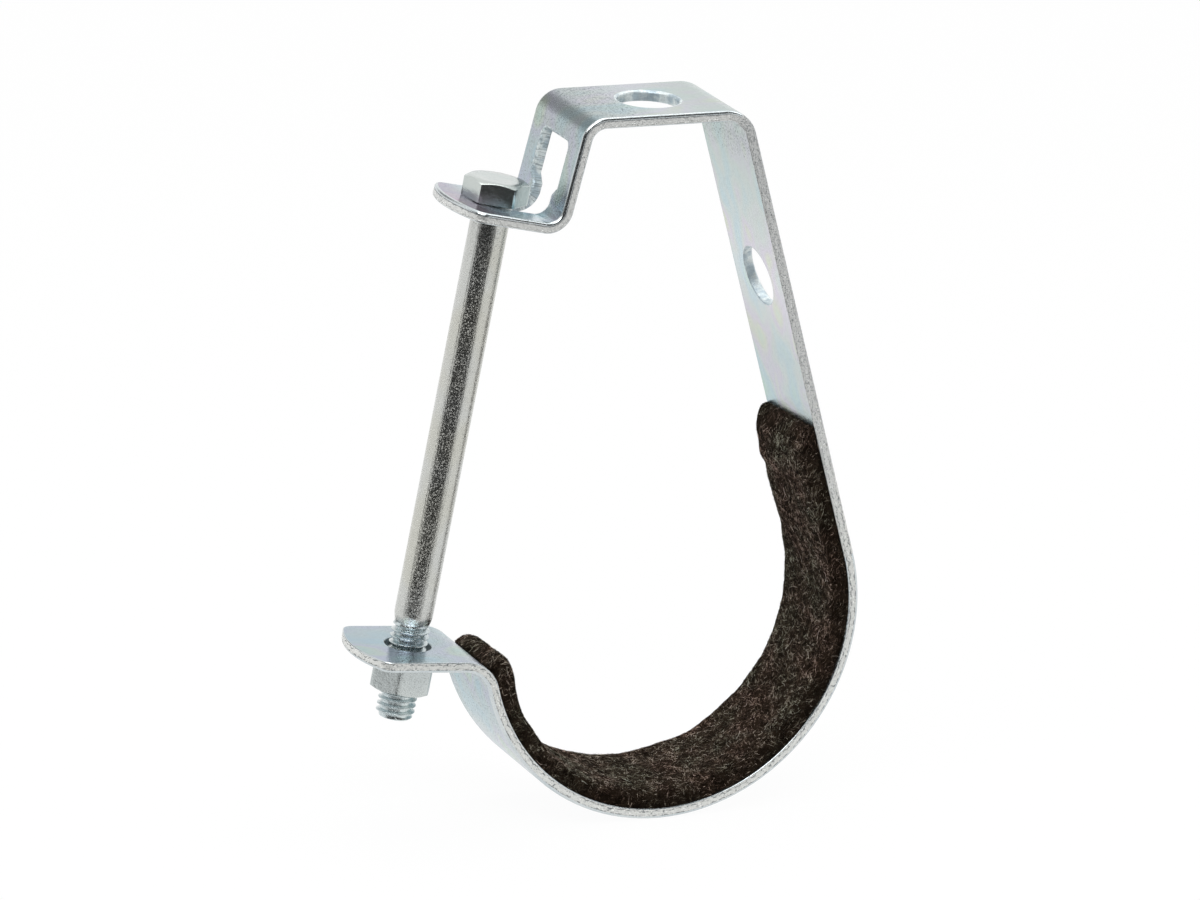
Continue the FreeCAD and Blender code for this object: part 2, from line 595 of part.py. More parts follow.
def build_felt(strap):
    """The felt, glued to the strap's pipe side from the lower bend to the straight leg."""
    body = doc.addObject("PartDesign::Body", "Felt")
    body.Label = "felt_liner"
    chain = felt_chain(strap)
    thickness = SIZE["felt_thickness"]
    sketch, near, far, caps = strip_sketch(body, "FeltProfile", chain, thickness / 2)
    pipe_face = SIZE["pipe_diameter"] / 2 - SIZE["felt_squeeze"]
    formula = "Sizes.pipe_diameter / 2 - Sizes.felt_squeeze"
    lap = "Sizes.lower_bend_radius + Sizes.strap_thickness + Sizes.glue_line + Sizes.felt_thickness"
    lap_radius = chain["lap"]["radius"] + thickness / 2
    end_angle = SIZE["cradle_end_angle"]
    lap_end = end_angle + SIZE["felt_lap_angle"] - 180
    for constraint in (
        ("pipe_face", formula, "Radius", near["cradle"], pipe_face),
        ("glue_face", f"{formula} + Sizes.felt_thickness", "Radius", far["cradle"], pipe_face + thickness),
        ("lap_face", lap, "Radius", near["lap"], lap_radius),
        ("leg_angle", "90 + Sizes.leg_lean", "Angle", near["leg"], math.radians(90 + SIZE["leg_lean"])),
        ("leg_reach", "Sizes.felt_leg_reach", "Distance", near["leg"], SIZE["felt_leg_reach"]),
        ("lap_end", "Sizes.cradle_end_angle + Sizes.felt_lap_angle - 180", "Angle", caps[0],
         math.radians(lap_end)),
        ("cradle_end", "Sizes.cradle_end_angle", "Angle", add_radius_line(sketch, near["lap"]),
         math.radians(end_angle)),
    ):
        add_constraint(sketch, *constraint)
    pad_both_ways(body, "FeltPad", sketch, "Sizes.strap_width - 2 * Sizes.felt_side_inset")
    return body


# The bolt and the nut

HEX_CORNER = "Sizes.hex_across_flats / 2 / cos(30 deg)"


def hex_corner_radius():
    """Radius of the circle through the hexagon's corners."""
    return SIZE["hex_across_flats"] / 2 / math.cos(math.pi / 6)


def draw_hexagon(sketch):
    """Draws the head's or the nut's hexagon inside its corner circle."""
    corner_radius = hex_corner_radius()
    corners = [
        Vector(corner_radius * math.cos(k * math.pi / 3), corner_radius * math.sin(k * math.pi / 3), 0)
        for k in range(6)
    ]
    circle = sketch.addGeometry(Part.Circle(Vector(0, 0, 0), Vector(0, 0, 1), corner_radius), True)
    lines = add_lines(sketch, *corners, corners[0])
    sketch.addConstraint(Sketcher.Constraint("Coincident", lines[5], 2, lines[0], 1))
    sketch.addConstraint(Sketcher.Constraint("Coincident", circle, 3, -1, 1))
    for line in lines:
        sketch.addConstraint(Sketcher.Constraint("PointOnObject", line, 1, circle))
    for line in lines[1:]:
        sketch.addConstraint(Sketcher.Constraint("Equal", lines[0], line))
    sketch.addConstraint(Sketcher.Constraint("PointOnObject", lines[0], 1, -1))
    add_constraint(sketch, "corner_radius", HEX_CORNER, "Radius", circle, corner_radius)


def chamfer_corners(body, name, level, formula, upwards):
    """Turns the hexagon's corners down to a cone on one face."""
    sketch = new_sketch(body, f"{name}Outline")
    inner = SIZE["hex_face_diameter"] / 2
    outer = SIZE["hex_across_flats"]
    slope = math.radians(SIZE["hex_chamfer_angle"])
    drop = (outer - inner) * math.tan(slope) * (-1 if upwards else 1)
    flat, wall, cone = add_lines(
        sketch, Vector(inner, level, 0), Vector(outer, level, 0), Vector(outer, level + drop, 0),
        Vector(inner, level, 0),
    )
    for constraint in (("Coincident", cone, 2, flat, 1), ("Horizontal", flat), ("Vertical", wall)):
        sketch.addConstraint(Sketcher.Constraint(*constraint))
    sign = "" if upwards else "-"
    cone_angle = math.pi - slope if upwards else slope - math.pi
    cone_formula = f"{sign}(180 - Sizes.hex_chamfer_angle)"
    add_constraint(sketch, "face_radius", "Sizes.hex_face_diameter / 2", "DistanceX", -1, 1, flat, 1, inner)
    add_constraint(sketch, "outside", "Sizes.hex_across_flats", "DistanceX", -1, 1, flat, 2, outer)
    add_constraint(sketch, "cone_angle", cone_formula, "Angle", cone, cone_angle)
    if level:
        add_constraint(sketch, "level", formula, "DistanceY", -1, 1, flat, 1, level)
    else:
        sketch.addConstraint(Sketcher.Constraint("PointOnObject", flat, 1, -1))
    doc.recompute()
    before = body.Shape.Volume
    groove = body.newObject("PartDesign::Groove", name)
    groove.Profile = sketch
    groove.ReferenceAxis = (sketch, ["V_Axis"])
    groove.Angle = 360
    sketch.Visibility = False
    doc.recompute()
    if body.Shape.Volume >= before:
        raise RuntimeError(f"{name} cuts nothing")


def circles_at(body, level, diameter):
    """Names of the round edges of a diameter at a height."""
    doc.recompute()
    names = []
    for index, edge in enumerate(body.Shape.Edges, start=1):
        if isinstance(edge.Curve, Part.Circle) and abs(edge.CenterOfMass.z - level) < NEAR:
            if abs(edge.Curve.Radius - diameter / 2) < NEAR:
                names.append(f"Edge{index}")
    return names


def seat_lift(reach, flange_tilt):
    """Height on the bolt's axis of a face that touches a flange at a reach from the axis."""
    lean = math.radians(abs(flange_tilt - SIZE["bolt_tilt"]))
    return SIZE["strap_thickness"] / math.cos(lean) + SIZE["seat_gap"] + reach * math.tan(lean)


def seat_lift_formula(reach, flange_tilt):
    """The same height as a formula."""
    lean = f"(abs({flange_tilt} - Sizes.bolt_tilt) * 1 deg)"
    return f"Sizes.strap_thickness / cos{lean} + Sizes.seat_gap + {reach} * tan{lean}"


def build_bolt(chain):
    """The side bolt, hanging by its head on the upper flange; its thread stays plain."""
    body = doc.addObject("PartDesign::Body", "Bolt")
    body.Label = "side_bolt"
    axis = direction(90 - SIZE["bolt_tilt"])
    head_lift = seat_lift(hex_corner_radius(), SIZE["upper_flange_tilt"])
    nut_drop = seat_lift(SIZE["hex_face_diameter"] / 2, SIZE["lower_flange_tilt"])
    gap = (upper_face_point(chain) - lower_face_point(chain)).Length
    length = gap + head_lift + nut_drop + SIZE["nut_height"] + SIZE["bolt_end_length"]
    head_formula = seat_lift_formula(HEX_CORNER, "Sizes.upper_flange_tilt")
    nut_formula = seat_lift_formula("Sizes.hex_face_diameter / 2", "Sizes.lower_flange_tilt")
    shank_circle = new_sketch(body, "ShankCircle", "XY_Plane")
    add_circle(shank_circle, "shank", 0, "0", SIZE["bolt_diameter"], "Sizes.bolt_diameter")
    shank = body.newObject("PartDesign::Pad", "Shank")
    shank.Profile = shank_circle
    shank.Reversed = True
    shank.setExpression(
        "Length", f"StrapProfile.Constraints.flange_gap + ({head_formula} + {nut_formula}"
        " + Sizes.nut_height + Sizes.bolt_end_length) * 1 mm")
    hexagon = new_sketch(body, "HeadHexagon", "XY_Plane")
    draw_hexagon(hexagon)
    head = body.newObject("PartDesign::Pad", "Head")
    head.Profile = hexagon
    head.setExpression("Length", "Sizes.head_height")
    chamfer_corners(body, "HeadCorners", SIZE["head_height"], "Sizes.head_height", True)
    end_edges = circles_at(body, -length, SIZE["bolt_diameter"])
    dress_edges(body, "PartDesign::Chamfer", "BoltEnd", end_edges, "Size", "Sizes.bolt_end_chamfer")
    neck_edges = circles_at(body, 0, SIZE["bolt_diameter"])
    dress_edges(body, "PartDesign::Fillet", "BoltNeck", neck_edges, "Radius", "Sizes.bolt_neck_fillet")
    seat = upper_face_point(chain) + axis * head_lift
    body.Placement = Placement(seat, bolt_rotation(SIZE["head_turn"]))
    return body


def bolt_rotation(turn):
    """Leans a piece along the bolt, turned about its own axis."""
    lean = Rotation(Vector(0, 1, 0), SIZE["bolt_tilt"])
    return lean.multiply(Rotation(Vector(0, 0, 1), turn))


def build_nut(chain):
    """The nut, tight under the lower flange."""
    body = doc.addObject("PartDesign::Body", "Nut")
    body.Label = "hex_nut"
    hexagon = new_sketch(body, "NutHexagon", "XY_Plane")
    draw_hexagon(hexagon)
    block = body.newObject("PartDesign::Pad", "NutBlock")
    block.Profile = hexagon
    block.Reversed = True
    block.setExpression("Length", "Sizes.nut_height")
    chamfer_corners(body, "NutTopCorners", 0, "0", True)
    chamfer_corners(body, "NutBottomCorners", -SIZE["nut_height"], "-Sizes.nut_height", False)
    bore_diameter = SIZE["bolt_diameter"] + SIZE["nut_bore_clearance"]
    bore_circle = new_sketch(body, "BoreCircle", "XY_Plane")
    add_circle(bore_circle, "bore", 0, "0", bore_diameter, "Sizes.bolt_diameter + Sizes.nut_bore_clearance")
    cut(body, "Bore", bore_circle, f"{BORE_DEPTH} * Sizes.nut_height")
    rims = circles_at(body, 0, bore_diameter) + circles_at(body, -SIZE["nut_height"], bore_diameter)
    dress_edges(body, "PartDesign::Chamfer", "BoreMouths", rims, "Size", "Sizes.nut_countersink")
    drop = seat_lift(SIZE["hex_face_diameter"] / 2, SIZE["lower_flange_tilt"])
    seat = lower_face_point(chain) - direction(90 - SIZE["bolt_tilt"]) * drop
    body.Placement = Placement(seat, bolt_rotation(SIZE["nut_turn"]))
    return body


def export(bodies):
    """Checks every object and writes each piece to its own file."""
    doc.recompute()
    for obj in doc.Objects:
        if {"Invalid", "Error"} & set(obj.State):
            raise RuntimeError(f"{obj.Name} is {obj.State}")
    for body in bodies:
        if body.Shape.isNull() or not body.Shape.isValid() or len(body.Shape.Solids) != 1:
            raise RuntimeError(f"{body.Label} is not one valid solid")
    for body in bodies:
        body.Shape.exportStep(f"parts/{body.Label}.step")
        box = body.Shape.BoundBox
        print(f"{body.Label}: {body.Shape.Volume:.1f} mm3, x {box.XMin:.2f} to {box.XMax:.2f},"
              f" y {box.YMin:.2f} to {box.YMax:.2f}, z {box.ZMin:.2f} to {box.ZMax:.2f}")


make_sheet()
strap_line = strap_chain()
export([build_strap(strap_line), build_felt(strap_line), build_bolt(strap_line), build_nut(strap_line)])
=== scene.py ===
"""Felt-lined J hanger: a zinc-plated strap bent from a flat blank, its felt, a threaded side bolt and its nut.

Sizes are millimetres and become metres when a piece is made. The frame is the solids' own: the origin
is on the pipe's axis, +Z points up the hanger rod and +Y runs along the pipe.
"""
import logging
import math
import random
from abc import ABC, abstractmethod
from dataclasses import dataclass, field
from enum import Enum, IntEnum
from typing import Callable, Optional

import bmesh
import bpy
from mathutils import Matrix, Vector, noise


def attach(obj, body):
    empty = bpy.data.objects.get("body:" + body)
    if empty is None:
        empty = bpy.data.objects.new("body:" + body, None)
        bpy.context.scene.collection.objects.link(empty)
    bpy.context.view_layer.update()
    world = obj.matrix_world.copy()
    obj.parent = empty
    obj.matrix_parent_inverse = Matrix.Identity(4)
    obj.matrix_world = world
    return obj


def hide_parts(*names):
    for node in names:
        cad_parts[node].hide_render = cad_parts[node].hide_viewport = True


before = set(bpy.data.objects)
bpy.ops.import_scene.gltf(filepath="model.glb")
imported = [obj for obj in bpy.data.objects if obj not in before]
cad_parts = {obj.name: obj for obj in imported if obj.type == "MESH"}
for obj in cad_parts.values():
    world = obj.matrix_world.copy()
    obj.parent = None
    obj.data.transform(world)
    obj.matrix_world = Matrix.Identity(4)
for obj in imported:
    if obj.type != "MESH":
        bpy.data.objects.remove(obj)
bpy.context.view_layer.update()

LOG = logging.getLogger("j_hanger")
MM = 0.001
Colour = tuple[float, float, float]
Stops = tuple[tuple[float, Colour | float], ...]
Band = tuple[float, float]
Level = Callable[[float], float] | float
Ring = tuple[Level, Level]
WHITE: Colour = (1.0, 1.0, 1.0)
Mesh = bmesh.types.BMesh
Vert = bmesh.types.BMVert
Edge = bmesh.types.BMEdge


def heading_vector(degrees: float) -> Vector:
    """Unit vector in the side view's plane, measured from +X towards +Z."""
    return Vector((math.cos(math.radians(degrees)), 0.0, math.sin(math.radians(degrees))))


def fade(distance: float, reach: float) -> float:
    """One at no distance, falling to zero at the reach."""
    return max(0.0, 1.0 - distance / reach)


# Shader maths


class Signal:
    """A shader socket that takes part in Python arithmetic."""

    def __init__(self, recipe: "Recipe", socket: bpy.types.NodeSocket) -> None:
        """Wraps one output socket of a recipe."""
        self.recipe = recipe
        self.socket = socket

    def _math(self, operation: str, *values: "Signal | float") -> "Signal":
        """Adds one Math node.

        Args:
            operation: The node's operation.
            values: Its inputs in order.

        Returns:
            The node's result.
        """
        inputs = dict(enumerate(values))
        return self.recipe.node("Math", {"operation": operation}, inputs)

    def __add__(self, other: "Signal | float") -> "Signal":
        """Sum."""
        return self._math("ADD", self, other)

    __radd__ = __add__

    def __mul__(self, other: "Signal | float") -> "Signal":
        """Product."""
        return self._math("MULTIPLY", self, other)

    __rmul__ = __mul__

    def __sub__(self, other: "Signal | float") -> "Signal":
        """Difference."""
        return self._math("SUBTRACT", self, other)

    def __rsub__(self, other: float) -> "Signal":
        """Difference from a number."""
        return self._math("SUBTRACT", other, self)

    def __abs__(self) -> "Signal":
        """Absolute value."""
        return self._math("ABSOLUTE", self)

    def step(self, low: float, high: float, out_low: float = 0.0, out_high: float = 1.0) -> "Signal":
        """Smooth change from one level to another.

        Args:
            low: Value where the change starts.
            high: Value where it ends.
            out_low: Result before the change.
            out_high: Result after it.

        Returns:
            The changed signal, kept between the two levels.
        """
        settings = {"interpolation_type": "SMOOTHSTEP"}
        inputs = {"Value": self, "From Min": low, "From Max": high, "To Min": out_low, "To Max": out_high}
        return self.recipe.node("MapRange", settings, inputs)


class Recipe:
    """Builds one node tree, for a material or for the world."""

    def __init__(self, tree: bpy.types.NodeTree) -> None:
        """Empties the tree."""
        self.tree = tree
        tree.nodes.clear()

    def node(self, kind: str, settings: dict, inputs: dict, output: int | str = 0) -> Signal:
        """Adds a node.

        Args:
            kind: The node's type, without ShaderNode before it.
            settings: Its own properties, or the stops of a ramp under "stops".
            inputs: Values or signals by socket name or number.
            output: Which output to return.

        Returns:
            The chosen output.
        """
        made = self.tree.nodes.new("ShaderNode" + kind)
        for key, value in settings.items():
            if key == "stops":
                self._set_stops(made.color_ramp, value)
            else:
                setattr(made, key, value)
        for key, value in inputs.items():
            if isinstance(value, Signal):
                self.tree.links.new(value.socket, made.inputs[key])
            elif isinstance(value, tuple) and len(value) == 3 and made.inputs[key].type == "RGBA":
                made.inputs[key].default_value = (*value, 1.0)
            else:
                made.inputs[key].default_value = value
        return Signal(self, made.outputs[output])

    @staticmethod
    def _set_stops(ramp: bpy.types.ColorRamp, stops: Stops) -> None:
        """Replaces a ramp's stops.

        Args:
            ramp: The node's colour ramp.
            stops: Positions, each with a colour or a grey.
        """
        while len(ramp.elements) < len(stops):
            ramp.elements.new(0.5)
        for element, (position, colour) in zip(ramp.elements, stops):
            element.position = position
            element.color = (*colour, 1.0) if isinstance(colour, tuple) else (colour, colour, colour, 1.0)

    def place(self, attribute: Optional[str] = None) -> Signal:
        """Object coordinates, or a vector attribute of the piece.

        Args:
            attribute: The attribute's name, if it is one.

        Returns:
            The place as a vector.
        """
        if attribute:
            return self.node("Attribute", {"attribute_name": attribute}, {}, "Vector")
        return self.node("TexCoord", {}, {}, "Object")

    def stretch(self, vector: Signal, scale: Colour) -> Signal:
        """Scales a pattern's coordinates."""
        return self.node("Mapping", {}, {"Vector": vector, "Scale": scale})

    def noise(self, vector: Signal, scale: float, detail: float = 2.0, rough: float = 0.5,
              output: str = "Fac") -> Signal:
        """Fractal noise with a value or a colour output."""
        inputs = {"Vector": vector, "Scale": scale, "Detail": detail, "Roughness": rough}
        return self.node("TexNoise", {}, inputs, output)

    def mix(self, factor: Signal | float, first: Signal | Colour, second: Signal | Colour,
            mode: str = "MIX") -> Signal:
        """Mixes two colours."""
        settings = {"data_type": "RGBA", "blend_type": mode}
        return self.node("Mix", settings, {0: factor, 6: first, 7: second}, 2)

    def ramp(self, factor: Signal, stops: Stops) -> Signal:
        """Colours from a value."""
        return self.node("ValToRGB", {"stops": stops}, {"Fac": factor}, "Color")

    def bump(self, height: Signal, depth_mm: float, strength: float = 1.0,
             normal: Optional[Signal] = None) -> Signal:
        """Turns a height into a normal.

        Args:
            height: The height.
            depth_mm: Millimetres that a height of one stands out.
            strength: Share of the bump that shows.
            normal: A normal that the bump is laid over.

        Returns:
            The bumped normal.
        """
        inputs = {"Height": height, "Distance": depth_mm * MM, "Strength": strength}
        if normal:
            inputs["Normal"] = normal
        return self.node("Bump", {}, inputs, "Normal")

    def darken(self, colour: Signal, dark: Colour, *amounts: Signal) -> Signal:
        """Mixes a dark colour in, one amount after the other.

        Args:
            colour: The colour to start from.
            dark: The colour that is mixed in.
            amounts: How much of it each time.

        Returns:
            The darkened colour.
        """
        for amount in amounts:
            colour = self.mix(amount, colour, dark)
        return colour

    def axis(self, vector: Signal, name: str) -> Signal:
        """One of a vector's three numbers."""
        return self.node("SeparateXYZ", {}, {"Vector": vector}, name)

    def vectors(self, operation: str, *values: Signal | Colour) -> Signal:
        """Adds one Vector Math node with its vectors in order."""
        output = "Value" if operation == "DOT_PRODUCT" else "Vector"
        return self.node("VectorMath", {"operation": operation}, dict(enumerate(values)), output)

    def rays(self, *names: str) -> Signal:
        """One for each of the named sorts of ray and zero for all others."""
        first, *others = (self.node("LightPath", {}, {}, name) for name in names)
        return sum(others, first)

    def surface(self, **inputs: Signal | Colour | float) -> Signal:
        """A Principled shader, with its sockets' names written with underscores."""
        named = {name.replace("_", " "): value for name, value in inputs.items()}
        return self.node("BsdfPrincipled", {}, named)

    def finish(self, shader: Signal) -> None:
        """Sends a shader to the output.

        Args:
            shader: A surface shader, or the background of the world.
        """
        sort = "World" if isinstance(self.tree.id_data, bpy.types.World) else "Material"
        made = self.tree.nodes.new("ShaderNodeOutput" + sort)
        self.tree.links.new(shader.socket, made.inputs["Surface"])


# Finishes


@dataclass(frozen=True)
class Finish(ABC):
    """A finish, which makes one material from its own numbers."""

    name: str

    def material(self) -> bpy.types.Material:
        """Makes the material and sends the finish's shader to it.

        Returns:
            The material.
        """
        material = bpy.data.materials.new(self.name)
        material.use_nodes = True
        recipe = Recipe(material.node_tree)
        recipe.finish(self.shader(recipe))
        return material

    @abstractmethod
    def shader(self, recipe: Recipe) -> Signal:
        """Builds the finish's nodes.

        Args:
            recipe: The material's node tree, still empty.

        Returns:
            The shader for the material's output.
        """


@dataclass(frozen=True)
class RolledZinc(Finish):
    """Pale blue zinc plating on the strap's rolled faces, with faint rainbow patches and with painted shade and
    reflections along the blank.
    """

    name: str = "rolled_zinc"
    tints: Stops = (
        (0.28, (0.90, 1.05, 0.96)), (0.39, (0.86, 0.98, 1.08)), (0.48, (1.0, 1.0, 1.0)),
        (0.56, (1.06, 0.93, 1.08)), (0.63, (1.06, 1.03, 0.90)), (0.74, (0.90, 1.05, 0.97)),
    )
    blank_length: float = 401.54
    # Colour by place along the blank: the plating's tints with painted shade and painted reflections, darker in the
    # bends and lighter on the leg above the felt.
    shade_and_tint_along: Stops = (
        (0.0, (0.35, 0.44, 0.48)), (0.07, (0.40, 0.50, 0.52)), (0.14, (0.46, 0.56, 0.57)),
        (0.55, (0.49, 0.57, 0.57)), (0.61, (0.53, 0.59, 0.575)), (0.66, (0.67, 0.72, 0.71)),
        (0.75, (0.50, 0.58, 0.55)), (0.795, (0.44, 0.51, 0.485)), (0.825, (0.49, 0.57, 0.555)),
        (0.845, (0.49, 0.565, 0.555)), (0.866, (0.40, 0.46, 0.45)), (0.895, (0.44, 0.52, 0.525)),
        (0.925, (0.42, 0.50, 0.53)), (0.955, (0.56, 0.68, 0.71)), (0.972, (0.52, 0.58, 0.63)),
        (0.987, (0.37, 0.31, 0.38)),
    )
    stretched: Stops = (
        (0.0, 0.1), (0.08, 0.45), (0.13, 0.35), (0.22, 0.1), (0.74, 0.12), (0.76, 0.8), (0.79, 0.1), (0.83, 0.1),
        (0.85, 1.0), (0.89, 0.45), (0.96, 0.2),
    )
    streak: Colour = (0.42, 0.47, 0.49)
    worn: Colour = (0.17, 0.20, 0.21)

    def shader(self, recipe: Recipe) -> Signal:
        """Tints the plating, paints shade and reflections into it along the blank and roughens it where a bend has
        stretched it.

        Args:
            recipe: The material's node tree.

        Returns:
            The finish's shader.
        """
        place = recipe.place("unrolled")
        drift = recipe.noise(recipe.stretch(place, (1.0, 1.6, 1.0)), 0.05, 1.5, 0.6)
        rainbow = recipe.ramp(drift, self.tints)
        along = recipe.axis(place, "X")
        share = along * (1.0 / self.blank_length)
        # Painted shade and reflections by place along the blank.
        shaded_tint = recipe.ramp(share, self.shade_and_tint_along)
        cloud = recipe.noise(place, 0.021, 1.0, 0.5)
        colour = recipe.mix(cloud.step(0.30, 0.55, 0.60, 1.0), shaded_tint, rainbow, "MULTIPLY")
        streaks = recipe.noise(recipe.stretch(place, (0.05, 1.4, 1.0)), 1.0, 3.0, 0.6)
        colour = recipe.mix(streaks.step(0.3, 0.75, 0.0, 0.10), colour, self.streak)
        stretched = recipe.ramp(share, self.stretched)
        grain = recipe.noise(place, 1.7, 3.0, 0.8)
        mottle = recipe.noise(place, 0.8, 2.0, 0.6)
        speck = grain.step(0.50, 0.60) * stretched
        colour = recipe.mix(speck * 0.88, colour, self.worn)
        roughness = 0.15 + 0.08 * mottle + 0.30 * speck
        height = (grain + mottle) * (0.3 + 1.3 * stretched) + streaks * 0.5
        normal = recipe.bump(height, 0.06, 0.9)
        return recipe.surface(Base_Color=colour, Metallic=0.84, Roughness=roughness, Normal=normal)


@dataclass(frozen=True)
class ShearedZinc(Finish):
    """Grainy plating on the strap's sheared outer edges."""

    name: str = "sheared_zinc"
    # Cut-edge colours of the lower and the upper part of the blank; the little that they differ is painted
    # reflection.
    light: Colour = (0.79, 0.80, 0.77)
    grey: Colour = (0.79, 0.80, 0.78)
    dark: Colour = (0.16, 0.18, 0.19)
    leg_grey: Colour = (0.73, 0.74, 0.73)
    upper_from: Band = (190.0, 235.0)
    leg_from: Band = (195.0, 245.0)
    leg_to: Band = (309.0, 316.0)
    darker_from: Band = (280.0, 310.0)
    # Painted dark reflections: where the dark line under the rolled-over rim starts, the broken lines near both
    # rims, and that dark line's height.
    dark_line_from: Band = (311.0, 318.0)
    dark_reflection_lines: tuple[float, ...] = (-0.75, 0.55)
    dark_line_height: float = 0.50

    def shader(self, recipe: Recipe) -> Signal:
        """Speckles the cut edge and paints dark reflection lines along its rims, greyer along the leg and with one
        more painted dark line beyond it.

        Args:
            recipe: The material's node tree.

        Returns:
            The finish's shader.
        """
        place = recipe.place("unrolled")
        along = recipe.axis(place, "X")
        out = recipe.axis(place, "Z")
        upper = along.step(*self.upper_from)
        speckle = recipe.noise(place, 2.6, 3.0, 0.75)
        torn = recipe.noise(recipe.stretch(place, (0.5, 0.5, 1.6)), 1.0, 3.0, 0.65)
        teeth = recipe.noise(place, 0.8, 4.0, 0.8)
        wander = recipe.noise(recipe.stretch(place, (0.55, 0.55, 0.0)), 1.0, 3.0, 0.7)
        rim = recipe.noise(place, 1.1, 2.0, 0.6).step(0.62, 0.72)
        # Painted dark reflections: broken dark lines near both rims, added to random dark spots.
        for line in self.dark_reflection_lines:
            away = abs(out - line - (wander - 0.5) * 2.2)
            rim = rim + away.step(0.06, 0.22, 1.0, 0.0) * teeth.step(0.47, 0.52)
        leg = along.step(*self.leg_from) * along.step(*self.leg_to, 1.0, 0.0)
        # Painted reflection: the upper part's colour differs a little from the lower's.
        colour = recipe.mix(upper, self.light, self.grey)
        colour = recipe.mix(leg, colour, self.leg_grey)
        # Along the leg: darker towards the rolled-over side, and a little darker all over towards the leg's upper
        # end.
        rolled_side = out.step(0.4, 1.25, 0.0, 0.38) + along.step(*self.darker_from, 0.0, 0.15)
        # Painted dark reflection: a broken dark line just under the rolled-over rim, from the shoulder bend onwards.
        away = abs(out - self.dark_line_height - (wander - 0.5) * 0.5)
        dark_line = away.step(0.07, 0.24, 1.0, 0.0) * along.step(*self.dark_line_from) * teeth.step(0.34, 0.44)
        # The rim marks, with their painted dark reflection lines, are strongest on the lower part.
        colour = recipe.darken(
            colour, self.dark, leg * rolled_side, speckle.step(0.52, 0.61) * (0.42 + 0.50 * leg),
            torn.step(0.60, 0.72, 0.0, 0.40), rim * (0.92 - 0.72 * upper), dark_line * 0.85)
        normal = recipe.bump(speckle + torn * 1.5 + teeth - rim, 0.10, 0.9)
        return recipe.surface(
            Base_Color=colour, Metallic=0.45, Roughness=0.14 + 0.22 * torn, Specular_IOR_Level=0.9, Normal=normal)


@dataclass(frozen=True)
class PiercedZinc(Finish):
    """Pale blue walls of the punched holes and the keyhole slot, with the punch's fine ridges."""

    name: str = "pierced_zinc"
    pale: Colour = (0.80, 0.86, 0.86)
    blue: Colour = (0.46, 0.55, 0.60)
    dark: Colour = (0.20, 0.25, 0.27)
    slot_from: Band = (350.0, 356.0)
    # Along the blank, where the painted shade in the lower hole fades out.
    lower_hole_shade_to: Band = (22.0, 40.0)

    def shader(self, recipe: Recipe) -> Signal:
        """Ridges the walls of the keyhole slot and paints shade into the lower hole's.

        Args:
            recipe: The material's node tree.

        Returns:
            The finish's shader.
        """
        place = recipe.place("unrolled")
        along = recipe.axis(place, "X")
        slot = along.step(*self.slot_from)
        ridges = recipe.noise(recipe.stretch(place, (2.3, 2.3, 0.15)), 1.0, 2.0, 0.6)
        grain = recipe.noise(place, 2.4, 3.0, 0.75)
        patches = recipe.noise(place, 0.35, 2.0, 0.6)
        colour = recipe.mix(patches.step(0.38, 0.62), self.pale, self.blue)
        # The last amount is painted shade in the lower hole's walls.
        colour = recipe.darken(
            colour, self.dark, ridges.step(0.50, 0.58) * (0.12 + 0.58 * slot),
            grain.step(0.54, 0.66, 0.0, 0.40), along.step(*self.lower_hole_shade_to, 0.75, 0.0))
        normal = recipe.bump(ridges * (0.4 + 1.4 * slot) + grain, 0.11, 0.9)
        return recipe.surface(Base_Color=colour, Metallic=0.4, Roughness=0.18 + 0.25 * grain, Normal=normal)


@dataclass(frozen=True)
class BrightZinc(Finish):
    """Bright plating of the bolt and the nut, which mirrors the studio through a fine grain."""

    colour: Colour
    shade: Colour
    roughness: float
    grain_depth: float
    draw_depth: float = 0.0
    speck: float = 0.0
    # How far the flecks turn pale and less metallic, as painted glints.
    glint_fleck_share: float = 0.0
    pit: Colour = (0.20, 0.21, 0.21)
    glint_fleck: Colour = (0.79, 0.79, 0.74)

    def shader(self, recipe: Recipe) -> Signal:
        """Grains the plating with pits and with pale flecks that are painted glints, and with drawn lines where it
        has them.

        Args:
            recipe: The material's node tree.

        Returns:
            The finish's shader.
        """
        place = recipe.place("unrolled")
        grain = recipe.noise(place, 2.7, 3.0, 0.8)
        ripple = recipe.noise(place, 0.8, 2.0, 0.5)
        drawn = recipe.noise(recipe.stretch(place, (1.5, 1.5, 0.03)), 1.0, 3.0, 0.6)
        drift = recipe.noise(place, 0.08, 2.0, 0.5)
        colour = recipe.mix(drift.step(0.38, 0.64), self.colour, self.shade)
        fleck = grain.step(0.52, 0.61)
        colour = recipe.mix(grain.step(0.40, 0.30, 0.0, 0.45), colour, self.pit)
        # Painted glints: pale, less metallic flecks in the grain.
        colour = recipe.mix(fleck * (0.6 * self.glint_fleck_share), colour, self.glint_fleck)
        roughness = self.roughness + 0.06 * ripple + self.speck * fleck
        normal = recipe.bump(grain + ripple * 1.2, self.grain_depth)
        if self.draw_depth:
            normal = recipe.bump(drawn, self.draw_depth, 1.0, normal)
        metal = 0.97 - self.glint_fleck_share * fleck
        return recipe.surface(Base_Color=colour, Metallic=metal, Roughness=roughness, Normal=normal)


